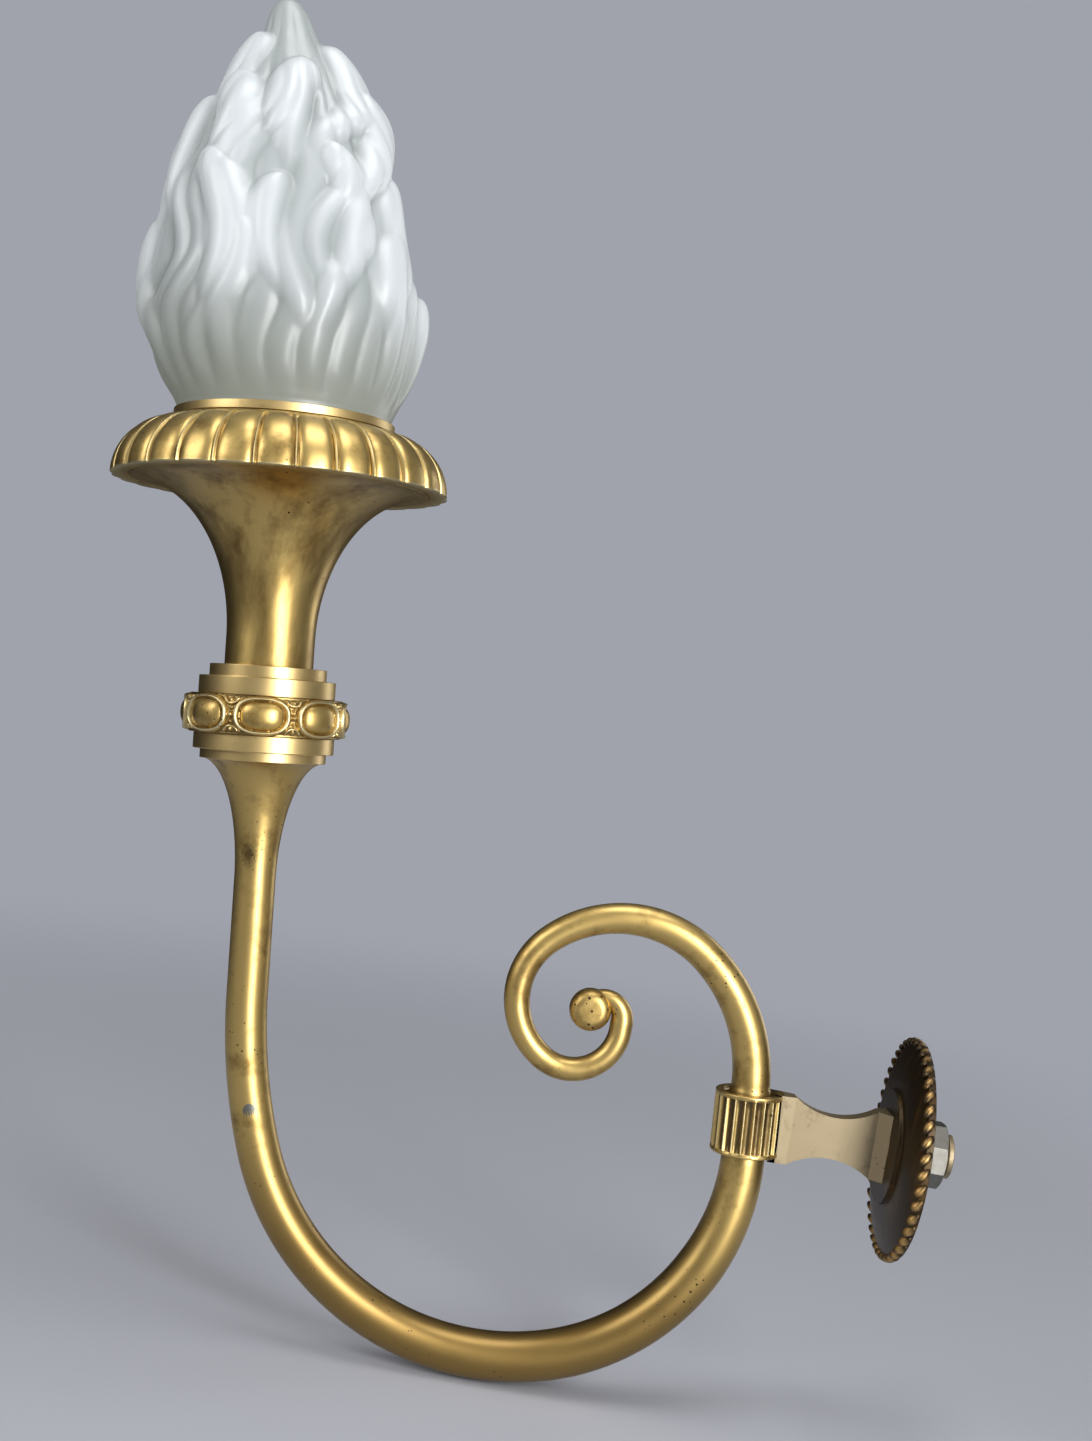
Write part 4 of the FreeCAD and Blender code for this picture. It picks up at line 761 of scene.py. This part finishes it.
class SCONCE_OT_arm(SconceOperator, bpy.types.Operator):
    """Arm that swings down and up to its cup"""
    bl_idname = "sconce.arm"
    bl_label = "Arm"

    def execute(self, context):
        clamp, size = scene_sizes().clamp, scene_sizes().arm
        near, far = math.degrees(size.near_sweep), math.degrees(size.far_sweep)
        swell = near * size.swell_share
        last = 180 + math.degrees(clamp.lean - TORCH_LEAN) - near - far
        start = Vector((-clamp.distance, 0, 0)) + along(math.pi / 2 + clamp.lean, clamp.joint_rise)
        places = stations(start, clamp.lean - math.pi / 2, clamp.joint_radius, [
            (clamp.joint_rise + clamp.height / 2, clamp.joint_radius),
            (size.drop, size.drop_radius),
            (size.near_bend, -swell, size.swell_radius),
            (size.near_bend, swell - near, size.bend_radius),
            (size.far_bend, -far, size.rise_radius),
            (size.last_bend, -last, size.stem_radius),
            (size.stem - size.cup_height, size.stem_radius),
        ])
        foot, heading = TORCH_FOOT, math.pi / 2 + TORCH_LEAN
        flare = size.cup_radius - size.stem_radius
        rings = 40
        for index in range(1, rings + 1):
            share = math.sin(math.pi / 2 * index / rings)
            radius = size.cup_radius - flare * math.sqrt(max(0, 1 - share ** 2))
            places.append((foot + along(heading, size.cup_height * (share - 1)), heading, radius))
        arm = swept(places, segments=56)
        piece(arm, "swept_arm", "cast_brass", hides=["arm_tube"])
        return {"FINISHED"}


# Runs of the scroll from the clamp to its tip, as in stations(), with lengths in mm.
SCROLL_RUNS = (
    (2.7, 9.8),
    (82.4, 49.1, 8.75),
    (62.1, 81.3, 7.1),
    (37.8, 104.6, 6.25),
    (24.1, 121.2, 5.8),
    (4.2, 5.8),
    (11, 120, 3.2),
)


class SCONCE_OT_scroll(SconceOperator, bpy.types.Operator):
    """Tapering scroll with its round eye"""
    bl_idname = "sconce.scroll"
    bl_label = "Scroll"

    def execute(self, context):
        clamp, size = scene_sizes().clamp, scene_sizes().scroll
        start = Vector((-clamp.distance, 0, 0)) + along(math.pi / 2 + clamp.lean, clamp.joint_rise)
        runs = [(clamp.height / 2 - clamp.joint_rise, clamp.joint_radius)]
        runs += [(run[0] * MM, *run[1:-1], run[-1] * MM) for run in SCROLL_RUNS]
        places = stations(start, math.pi / 2 + clamp.lean, clamp.joint_radius, runs, spacing=1.4 * MM)
        tip, heading, _ = places[-1]
        eye = tip + along(heading + math.pi / 2, size.eye_reach) + Vector((-size.eye_back, 0, size.eye_rise))
        radius, half, round_off = size.eye_radius, size.eye_half, size.eye_rounding
        outline = [(0, -half)]
        outline += arc((radius - round_off, round_off - half), (round_off, round_off), -90, 0, 6)
        outline += arc((radius - round_off, half - round_off), (round_off, round_off), 0, 90, 6)
        outline += [(0, half)]
        lying = Matrix.Translation(eye) @ Matrix.Rotation(math.pi / 2, 4, "X")
        bun = turned(outline, 64, closed=False, rounding=0, matrix=lying)
        piece(joined(swept(places), bun), "tapering_scroll", "cast_brass", hides=["scroll"])
        return {"FINISHED"}


class SCONCE_OT_rings(SconceOperator, bpy.types.Operator):
    """Turned rings and spun trumpet of the torch"""
    bl_idname = "sconce.rings"
    bl_label = "Rings and trumpet"

    def execute(self, context):
        size = scene_sizes().torch
        pipe = size.pipe_hole
        lower = [(pipe, 0), (size.foot_ring, 0), (size.foot_ring, size.foot_top),
                 (size.lower_band, size.foot_top), (size.lower_band, size.egg_base), (pipe, size.egg_base)]
        piece(turned(lower), "lower_collar_turned", "turned_brass", place=TORCH, hides=["lower_collar"])
        upper = [(pipe, size.egg_top), (size.upper_band, size.egg_top), (size.upper_band, size.band_top),
                 (size.upper_ring, size.band_top), (size.upper_ring, size.trumpet_base),
                 (pipe, size.trumpet_base)]
        piece(turned(upper), "upper_collar_turned", "turned_brass", place=TORCH, hides=["upper_collar"])
        flare = size.trumpet_rim - size.neck
        rise = size.flange - size.neck_top
        centre = (size.trumpet_rim, size.neck_top)
        outline = [(pipe, size.trumpet_base), (size.neck, size.trumpet_base)]
        neck_height = size.neck_top - size.trumpet_base
        outline += [(size.neck, size.trumpet_base + neck_height * step / 4) for step in (1, 2, 3)]
        outline += arc(centre, (flare, rise), 180, 90, 48)
        outline += [(size.trumpet_rim, size.flange + size.wall)]
        outline += arc(centre, (flare + size.wall, rise + size.wall), 90, 180, 40)[1:]
        floor = size.trumpet_base + size.trumpet_floor
        outline += [(size.neck - size.wall, floor), (pipe, floor)]
        piece(turned(outline, 192, rounding=0.25 * MM), "trumpet_spun", "spun_brass", place=TORCH,
              hides=["trumpet"])
        low = size.band_height - size.fitter_depth
        cup = [(pipe, low), (size.fitter_shank, low), (size.fitter_shank, size.band_height),
               (size.fitter_waist, size.band_height), (size.fitter_waist, size.fitter_low),
               (size.fitter, size.fitter_low), (size.fitter, size.fitter_top),
               (size.fitter_bore, size.fitter_top), (size.fitter_bore, size.fitter_ledge),
               (size.fitter_hollow, size.fitter_ledge), (size.fitter_hollow, size.fitter_floor),
               (pipe, size.fitter_floor)]
        piece(turned(cup, 192, rounding=0.25 * MM), "glass_cup_turned", "turned_brass", place=TORCH,
              hides=["fitter_cup"])
        return {"FINISHED"}


def squared(across, up, squareness):
    """How far out a point lies in a rounded square: 1 on its edge. A squareness of 2 makes it round."""
    return (abs(across) ** squareness + abs(up) ** squareness) ** (1 / squareness)


class SCONCE_OT_eggs(SconceOperator, bpy.types.Operator):
    """Ring of lying eggs in raised frames"""
    bl_idname = "sconce.eggs"
    bl_label = "Egg ring"

    def execute(self, context):
        size = scene_sizes().torch
        half = (size.egg_top - size.egg_base) / 2
        middle = (size.egg_top + size.egg_base) / 2
        rows = 52
        face = []
        for index in range(rows + 1):
            share = -1 + 2 * index / rows
            swell = size.egg_swell * math.sqrt(max(0, 1 - share ** 2))
            face.append((size.egg_ring + swell, middle + half * share))
        outline = [(size.egg_bore, size.egg_base)] + face + [(size.egg_bore, size.egg_top)]
        pitch = math.tau / size.egg_count
        first = size.egg_turn
        # All in mm. Widths are measured round the ring at the radius reach, and the ground between the frames
        # lies at sunk. Eggs and frames are rounded squares.
        reach, sunk = 41, -1.0
        egg_rise, frame_rise, frame_sharpness, hook_rise = 3.1, 3.1, 8.2, 1.9
        egg_width, egg_height, egg_square = 11.0, 7.3, 2.7
        frame_width, frame_height, frame_square = 13.1, 8.5, 2.5
        between, hook_level, hook_radius, hook_half, hook_end = 16.1, 9.6, 4.1, 0.8, 8.6
        # Height and radius of the beads between two eggs.
        beads = ((0, 1.35), (-3.4, 0.7), (3.4, 0.7), (-7.2, 1.2), (7.2, 1.2))

        def ornament(turn, radius, height):
            if radius < size.egg_ring - 0.1 * MM:
                return radius, height, 0
            across = (((turn - first) / pitch + 0.5) % 1 - 0.5) * pitch * reach
            up = (height - middle) / MM
            egg = squared(across / egg_width, up / egg_height, egg_square)
            rim = squared(across / frame_width, up / frame_height, frame_square)
            gap = abs(rim - 1) * frame_sharpness
            lift, wear_and_shade = sunk, -0.6
            if egg < 1:
                lift, wear_and_shade = egg_rise * (1 - egg ** 2.4) ** 0.6 - 0.6, 0.1 - 0.9 * egg ** 10
            elif gap < 1:
                ridge = math.cos(gap * math.pi / 2) ** 0.6
                lift, wear_and_shade = sunk + frame_rise * ridge, -0.6 + 1.6 * ridge
            elif rim > 1:
                side = between - abs(across)
                hook = abs(math.hypot(side, abs(up) - hook_level) - hook_radius)
                if hook < hook_half and abs(up) < hook_end:
                    ridge = math.cos(hook / hook_half * math.pi / 2)
                    lift, wear_and_shade = sunk + hook_rise * ridge, -0.6 + 1.5 * ridge
                for level, bead in beads:
                    off = math.hypot(side, up - level) / bead
                    if off < 1:
                        dome = math.sqrt(1 - off ** 2)
                        lift, wear_and_shade = sunk + hook_rise * dome * bead, 0.9 * dome - 0.3
            edge = smooth_step(half / MM - abs(up), 0, 0.9)
            return radius + lift * MM * edge, height, wear_and_shade

        ring = reshaped(turned(outline, steps=size.egg_count * 72, rounding=0), ornament)
        piece(ring, "egg_ring_cast", "cast_brass", place=TORCH, hides=["egg_ring"])
        return {"FINISHED"}


class SCONCE_OT_gadroon(SconceOperator, bpy.types.Operator):
    """Ring of swelling lobes with a thin fillet between each two"""
    bl_idname = "sconce.gadroon"
    bl_label = "Gadrooned ring"

    def execute(self, context):
        size = scene_sizes().torch
        core = size.lobe_sweep - size.lobe_depth
        top_turn = math.degrees(math.acos((size.band - size.lobe_centre) / core))
        rows = 48
        skirt = size.trumpet_rim + size.lobe_skirt
        sweep = arc((size.lobe_centre, size.flange), (core, core), 0, top_turn, rows)
        # The ring's hollow back: how high its roof is at the bore, and where it turns down to the skirt.
        back_top, back_radius, back_low = 20 * MM, 72 * MM, 12 * MM
        outline = [(size.lobe_bore, size.band_height), (size.lobe_bore, size.flange + back_top),
                   (back_radius, size.flange + back_low), (skirt, size.flange + size.wall),
                   (skirt, size.flange)]
        outline += sweep + [(size.band, size.band_height)]
        pitch = math.tau / size.lobe_count
        first = size.lobe_turn
        end = core * math.radians(top_turn)
        # Half a valley's width, the band left over the lobes, and how flat and how square their ends are.
        valley, band_gap, arch_share, lobe_square = 0.75 * MM, 0.9 * MM, 0.8, 3.2
        fillet, fillet_lift, foot_bead = 0.6 * MM, 2.6 * MM, 0.9 * MM

        def lobes(turn, radius, height):
            across, up = radius - size.lobe_centre, height - size.flange
            # Only the outer face carries lobes, up to the band.
            if up < -0.01 * MM or radius < size.band - 0.01 * MM or math.hypot(across, up) < core - 0.05 * MM:
                return radius, height, 0
            lift_angle = math.atan2(up, across)
            if lift_angle > math.radians(top_turn) - 0.002:
                return radius, height, 0.2
            travel = core * lift_angle
            side = abs(((turn - first) / pitch + 0.5) % 1 - 0.5) * pitch * radius
            half_pitch = math.pi / size.lobe_count * radius
            width = half_pitch - valley
            arch = max(0, travel - (end - band_gap - arch_share * width)) / arch_share
            off = squared(side / width, arch / width, lobe_square)
            if off < 1:
                lift = size.lobe_depth * (1 - off ** 3) ** 0.6
                wear_and_shade = 0.12 - 1.0 * off ** 12 - 0.25 * (travel / end) ** 3
            else:
                ridge = math.exp(-((half_pitch - side) / fillet) ** 2)
                lift = fillet_lift * ridge
                wear_and_shade = -0.7 + 1.7 * max(ridge, min(1, arch / width))
            wear_and_shade += 0.9 * math.exp(-(travel / foot_bead) ** 2)
            reach = core + lift
            risen = size.flange + reach * math.sin(lift_angle)
            return size.lobe_centre + reach * math.cos(lift_angle), risen, wear_and_shade

        ring = reshaped(turned(outline, steps=size.lobe_count * 34, rounding=0), lobes)
        piece(ring, "gadrooned_ring", "cast_brass", place=TORCH, hides=["gadroon_ring"])
        return {"FINISHED"}


# The flame's side view: height over its foot, radius, and how far its middle stands off the axis, in mm.
FLAME_OUTLINE = (
    (0, 53.3, 0), (3, 53.6, 0), (7, 55, -0.5), (15, 59.5, -1.5), (27, 63.5, -2.5), (47, 67.5, -4),
    (61, 67, -4.5), (75, 64.5, -5), (88, 61, -6.5), (102, 57.5, -8), (119, 53, -8.5), (135, 47.5, -7.5),
    (150, 41.5, -6.5), (165, 32, -7), (180, 23.5, -8), (190, 17, -9.5), (198, 13, -10.5),
    (206, 9.8, -11.5), (212, 5.8, -12.5), (215, 0, -12.5),
)
# Where round the torch's axis the viewer stands, in degrees.
VIEWER_TURN = -79.4
# Tongues: degrees round the flame (0 faces the viewer, right is positive) and height of root and tip,
# the S-bend in degrees, half the width and the lift of the tip, lengths in mm.
TONGUES = (
    (-76, -6, -92, 96, 5, 19, 9),
    (-42, -6, -26, 90, -9, 11, 5),
    (-16, -6, -43, 123, -10, 13, 7.5),
    (6, -6, -3, 110, 9, 11, 5),
    (20, -6, 24, 130, -11, 11, 7),
    (44, -6, 62, 96, 7, 13, 7),
    (74, -6, 90, 70, 5, 16, 7.5),
    (56, 15, 76, 125, 7, 14, 8),
    (-84, 45, -92, 131, 5, 14, 6.5),
    (-60, 50, -76, 157, 7, 14, 7.5),
    (-18, 66, -50, 167, -9, 14, 8),
    (20, 56, 66, 170, -13, 17, 11),
    (84, 60, 96, 148, -5, 14, 6.5),
    (-10, 86, 10, 176, 12, 13, 6.5),
    (14, 104, 74, 190, -12, 18, 10.5),
    (-34, 104, -58, 192, 12, 14, 7),
    (-80, 110, -104, 178, 6, 12, 6),
    (100, -6, 112, 84, 6, 15, 6),
    (126, -6, 140, 118, -8, 14, 7),
    (152, -6, 166, 88, 8, 13, 6),
    (176, -6, 190, 122, -7, 14, 7),
    (-158, -6, -146, 86, 8, 13, 6),
    (-132, -6, -122, 120, -7, 14, 7),
    (-108, -6, -110, 84, 6, 13, 6),
    (120, 60, 134, 164, 9, 15, 8),
    (158, 62, 176, 168, -9, 15, 8),
    (-164, 62, -140, 162, 9, 14, 7.5),
    (-128, 64, -112, 156, -7, 13, 7),
    (130, 116, 160, 186, -8, 13, 6.5),
    (-166, 114, -136, 188, 8, 12, 6.5),
)


def flame_points(turn, height, size):
    """Outer surface of the flame. turn and height are arrays; gives points, and for each a value that sinks in the
    valleys, by which the glass there is painted darker as shade.
    """
    facing = math.radians(VIEWER_TURN)
    heights, radii, offsets = np.array(FLAME_OUTLINE).T
    radius = sum(np.interp(height + shift, heights, radii) for shift in (-4, -2, 0, 2, 4)) / 5
    radius = radius - 1.2 * smooth_step(height, 20, 70) * (1 - smooth_step(height, 190, 205))
    # The very foot and the very tip keep the outline's own radius.
    radius = np.where(height > 205, np.interp(height, heights, radii), radius)
    radius = np.where(height < 4, np.interp(height, heights, radii), radius)
    centre = sum(np.interp(height + shift, heights, offsets) for shift in (-9, -3, 3, 9)) / 4
    top = size.height / MM
    share = height / top
    low = smooth_step(height, 2, 20)
    high = 1 - smooth_step(height, 190, 212)
    # Combed ridges that sway as they rise, with narrow valleys between them: 26 fine and 11 broad ones.
    sway = 0.5 * share + 0.11 * np.sin(height / 17 + 2 * turn + 2) + 0.06 * np.sin(height / 10 - 3 * turn)
    swaying = smooth_step(height, 15, 75)
    crown_fade = 1 - smooth_step(height, 150, 185)
    fine = (np.abs(np.cos(13 * (turn - sway * swaying))) ** 0.75 - 0.6) * crown_fade
    broad = np.abs(np.cos(5.5 * (turn - 0.8 * sway * swaying) + 0.7)) ** 0.8 - 0.6
    broad = broad * (0.3 + 0.7 * crown_fade)
    out = (2.2 * fine + 2.4 * broad * swaying) * low * high
    rise = np.zeros_like(out)
    relief = np.zeros_like(out)
    for root_turn, root, tip_turn, tip, bend, width, lift in TONGUES:
        inside = np.clip((height - root) / (tip - root), 0, 1)
        ease = inside * inside * (3 - 2 * inside)
        line = root_turn + (tip_turn - root_turn) * ease + bend * np.sin(math.tau * inside)
        off = (turn - facing - np.radians(line) + math.pi) % math.tau - math.pi
        side = off * np.maximum(radius, 8)
        cap = width * 1.25 / (tip - root)
        rounded = np.sqrt(np.clip(1 - np.clip((inside - 1 + cap) / cap, 0, 1) ** 2, 0, 1))
        half = np.maximum(width * (0.5 + 0.5 * smooth_step(inside, 0.1, 0.75)) * rounded, 0.01)
        crown = np.clip(1 - (side / half) ** 2, 0, 1) ** 0.85
        raised = lift * crown * smooth_step(inside, 0.05, 0.9) * rounded ** 0.5
        raised = raised * ((height > root) & (height < tip))
        taken = raised > relief
        relief = np.where(taken, raised, relief)
        rise = np.where(taken, raised * 0.3 * smooth_step(inside, 0.6, 1), rise)
    out = out * (1 - 0.25 * np.clip(relief / 5, 0, 1)) + relief * high * low
    reach = np.maximum(radius + out, 0)
    points = np.stack([centre + reach * np.cos(turn), reach * np.sin(turn), height + rise * high], axis=1)
    # Painted shade: the value sinks where the relief lies below its ridges, and the glass is painted darker there.
    wear_and_shade = np.clip((out - 2.5) / 4, -1, 1) * low
    return points * MM, wear_and_shade


class SCONCE_OT_flame(SconceOperator, bpy.types.Operator):
    """Frosted glass flame with its tongues"""
    bl_idname = "sconce.flame"
    bl_label = "Glass flame"

    def execute(self, context):
        size = scene_sizes().flame
        rows, steps = 230, 300
        top, inner_top = size.height, size.height - size.crown
        shell = bmesh.new()
        verts = [shell.verts.new((1, 0, top * index / rows)) for index in range(rows)]
        edges = [shell.edges.new(pair) for pair in zip(verts, verts[1:])]
        bmesh.ops.spin(shell, geom=verts + edges, cent=(0, 0, 0), axis=(0, 0, 1), angle=math.tau, steps=steps,
                       use_merge=True, use_duplicate=False)
        bmesh.ops.remove_doubles(shell, verts=shell.verts, dist=0.001 * MM)
        co = np.array([vert.co for vert in shell.verts])
        # worn holds the painted shade of the glass's valleys.
        points, worn = flame_points(np.arctan2(co[:, 1], co[:, 0]), co[:, 2] / MM, size)
        wear_and_shade = shell.verts.layers.float.new("wear_and_shade")
        for vert, point, value in zip(shell.verts, points, worn):
            vert.co = point
            vert[wear_and_shade] = value
        rim = [edge for edge in shell.edges if edge.is_boundary]
        crown = [edge for edge in rim if edge.verts[0].co.z > top / 2]
        closed = bmesh.ops.holes_fill(shell, edges=crown, sides=0)["faces"]
        bmesh.ops.poke(shell, faces=closed)
        moulded = [vert for vert in shell.verts if vert.co.z > 4 * MM]
        for _ in range(4):
            bmesh.ops.smooth_vert(shell, verts=moulded, factor=0.5, use_axis_x=True, use_axis_y=True,
                                  use_axis_z=True)
        heights, radii, offsets = np.array(FLAME_OUTLINE).T
        count = 40
        inner = []
        for index in range(count):
            height = inner_top * index / (count - 1)
            radius = float(np.interp(height / MM, heights, radii)) * MM - size.wall
            inner.append((max(0, radius), height))
        inner[-1] = (0, inner_top)
        hollow = turned(inner, 96, closed=False, rounding=0)
        for vert in hollow.verts:
            vert.co.x += float(np.interp(vert.co.z / MM, heights, offsets)) * MM
        whole = joined(shell, hollow)
        foot = [edge for edge in whole.edges if edge.is_boundary]
        bmesh.ops.bridge_loops(whole, edges=foot)
        bmesh.ops.recalc_face_normals(whole, faces=whole.faces)
        place = TORCH @ Matrix.Translation((0, 0, size.foot))
        piece(whole, "glass_flame", "frosted_glass", body="shade", place=place, hides=["flame_shade"])
        return {"FINISHED"}


# The camera that sees what the photograph shows: its focal length and the picture's long side in pixels,
# the sensor's long side in mm, its place, and its roll in degrees.
FOCAL_LENGTH = 1750
LONG_SIDE = 1441
SENSOR = 36
CAMERA_PLACE = (-0.2178, -0.8875, 0.1825)
CAMERA_ROLL = 10
# Soft lights, aimed at the middle of the object: name, place, width, height and watts.
AIM = (-0.24, 0, 0.2)
LIGHTS = (
    ("key", (0.62, -1.4, 0.4), 0.5, 1.5, 37),
    ("fill", (-1.7, -0.9, 0.9), 0.8, 1.2, 13),
    ("top", (-0.2, -0.3, 1.7), 0.9, 0.9, 11),
    ("rim", (0.9, 1.2, 0.5), 0.6, 1.2, 4),
)
# The way to the brightest side of the room, then the floor: its radius, the X of its middle and how far it
# lies below the object.
BRIGHT_SIDE = (0.15, -0.75, 0.65)
FLOOR_RADIUS = 3.0
FLOOR_MIDDLE = -0.2
FLOOR_DROP = 1 * MM


class SCONCE_OT_stage(SconceOperator, bpy.types.Operator):
    """Pale floor, soft lights and the camera"""
    bl_idname = "sconce.stage"
    bl_label = "Stage"

    def execute(self, context):
        scene = context.scene
        bm = bmesh.new()
        bmesh.ops.create_circle(bm, cap_ends=True, segments=96, radius=FLOOR_RADIUS)
        bmesh.ops.translate(bm, verts=bm.verts, vec=(FLOOR_MIDDLE, 0, CAD_BOX[0][2] - FLOOR_DROP))
        mesh = bpy.data.meshes.new("pale_floor")
        bm.to_mesh(mesh)
        bm.free()
        floor = bpy.data.objects.new("pale_floor", mesh)
        scene.collection.objects.link(floor)
        mesh.materials.append(floor_paint())
        camera = bpy.data.cameras.new("camera")
        camera.lens = FOCAL_LENGTH * SENSOR / LONG_SIDE
        camera.clip_start = 0.01
        viewer = bpy.data.objects.new("camera", camera)
        scene.collection.objects.link(viewer)
        level = Matrix.Rotation(math.radians(90), 4, "X")
        rolled = level @ Matrix.Rotation(math.radians(CAMERA_ROLL), 4, "Z")
        viewer.matrix_world = Matrix.Translation(CAMERA_PLACE) @ rolled
        scene.camera = viewer
        middle = Vector(AIM)
        for name, position, width, height, power in LIGHTS:
            lamp = bpy.data.lights.new(name, "AREA")
            lamp.shape = "RECTANGLE"
            lamp.size, lamp.size_y, lamp.energy = width, height, power
            holder = bpy.data.objects.new(name, lamp)
            scene.collection.objects.link(holder)
            look = (middle - Vector(position)).to_track_quat("-Z", "Y").to_matrix().to_4x4()
            holder.matrix_world = Matrix.Translation(position) @ look
        world = bpy.data.worlds.new("soft grey room")
        world.use_nodes = True
        tree = world.node_tree
        tree.nodes.clear()
        seen = add_node(tree, "ShaderNodeBackground", {"Color": srgb("A0A3AC"), "Strength": 1.0})
        place = add_node(tree, "ShaderNodeTexCoord").outputs["Generated"]
        # The room is bright above and before the object and dark behind it, which darkens round edges.
        # The camera sees an even grey backdrop instead, and reflections never show it.
        side = add_node(tree, "ShaderNodeVectorMath", {1: BRIGHT_SIDE}, {0: place},
                        operation="DOT_PRODUCT")
        tone = add_node(tree, "ShaderNodeMapRange",
                        {"From Min": -0.5, "From Max": 0.9, "To Min": 0.015, "To Max": 0.4},
                        {"Value": side.outputs["Value"]})
        lit = add_node(tree, "ShaderNodeBackground", {"Color": srgb("F2F3F6")}, {"Strength": tone.outputs[0]})
        ray = add_node(tree, "ShaderNodeLightPath")
        both = add_node(tree, "ShaderNodeMixShader",
                        links={0: ray.outputs["Is Camera Ray"], 1: lit.outputs[0], 2: seen.outputs[0]})
        add_node(tree, "ShaderNodeOutputWorld", links={"Surface": both.outputs[0]})
        scene.world = world
        scene.view_settings.view_transform = "Standard"
        return {"FINISHED"}


def floor_paint():
    """Matt pale paint that fades out far from the object."""
    material, tree = new_material("Pale matt paint")
    place = add_node(tree, "ShaderNodeTexCoord").outputs["Object"]
    speck = add_node(tree, "ShaderNodeTexNoise", {"Scale": 40, "Detail": 3}, {"Vector": place})
    rough = add_node(tree, "ShaderNodeMapRange", {"To Min": 0.85, "To Max": 0.95},
                     {"Value": speck.outputs[0]})
    far = add_node(tree, "ShaderNodeVectorMath", links={0: place}, operation="LENGTH")
    fade = add_node(tree, "ShaderNodeMapRange", {"From Min": 0.4, "From Max": 1.7, "To Min": 1, "To Max": 0},
                    {"Value": far.outputs["Value"]}, interpolation_type="SMOOTHSTEP")
    shader = add_node(tree, "ShaderNodeBsdfPrincipled", {"Base Color": scene_sizes().finishes.floor},
                      {"Roughness": rough.outputs[0], "Alpha": fade.outputs[0]})
    close_material(tree, shader)
    return material


# --- add-on -------------------------------------------------------------------------------------------

class SconceSizes(bpy.types.PropertyGroup):
    """All sizes and colours of the sconce."""
    plate: PointerProperty(type=PlateSizes)
    clamp: PointerProperty(type=ClampSizes)
    arm: PointerProperty(type=ArmSizes)
    scroll: PointerProperty(type=ScrollSizes)
    torch: PointerProperty(type=TorchSizes)
    flame: PointerProperty(type=FlameSizes)
    finishes: PointerProperty(type=Finishes)


OPERATORS = (
    SCONCE_OT_finishes,
    SCONCE_OT_plate,
    SCONCE_OT_stud,
    SCONCE_OT_bracket,
    SCONCE_OT_clamp,
    SCONCE_OT_arm,
    SCONCE_OT_scroll,
    SCONCE_OT_rings,
    SCONCE_OT_eggs,
    SCONCE_OT_gadroon,
    SCONCE_OT_flame,
    SCONCE_OT_stage,
)


class SCONCE_PT_panel(bpy.types.Panel):
    """Lists the sconce's pieces"""
    bl_label = "Torch sconce"
    bl_idname = "SCONCE_PT_panel"
    bl_space_type = "VIEW_3D"
    bl_region_type = "UI"
    bl_category = "Sconce"

    def draw(self, context):
        for operator in OPERATORS:
            self.layout.operator(operator.bl_idname)


GROUPS = (PlateSizes, ClampSizes, ArmSizes, ScrollSizes, TorchSizes, FlameSizes, Finishes, SconceSizes)
CLASSES = GROUPS + OPERATORS + (SCONCE_PT_panel,)


def register():
    for entry in CLASSES:
        bpy.utils.register_class(entry)
    bpy.types.Scene.sconce = PointerProperty(type=SconceSizes)


def unregister():
    del bpy.types.Scene.sconce
    for entry in reversed(CLASSES):
        bpy.utils.unregister_class(entry)


def main():
    register()
    for operator in OPERATORS:
        group, name = operator.bl_idname.split(".")
        getattr(getattr(bpy.ops, group), name)()


if __name__ == "__main__":
    main()
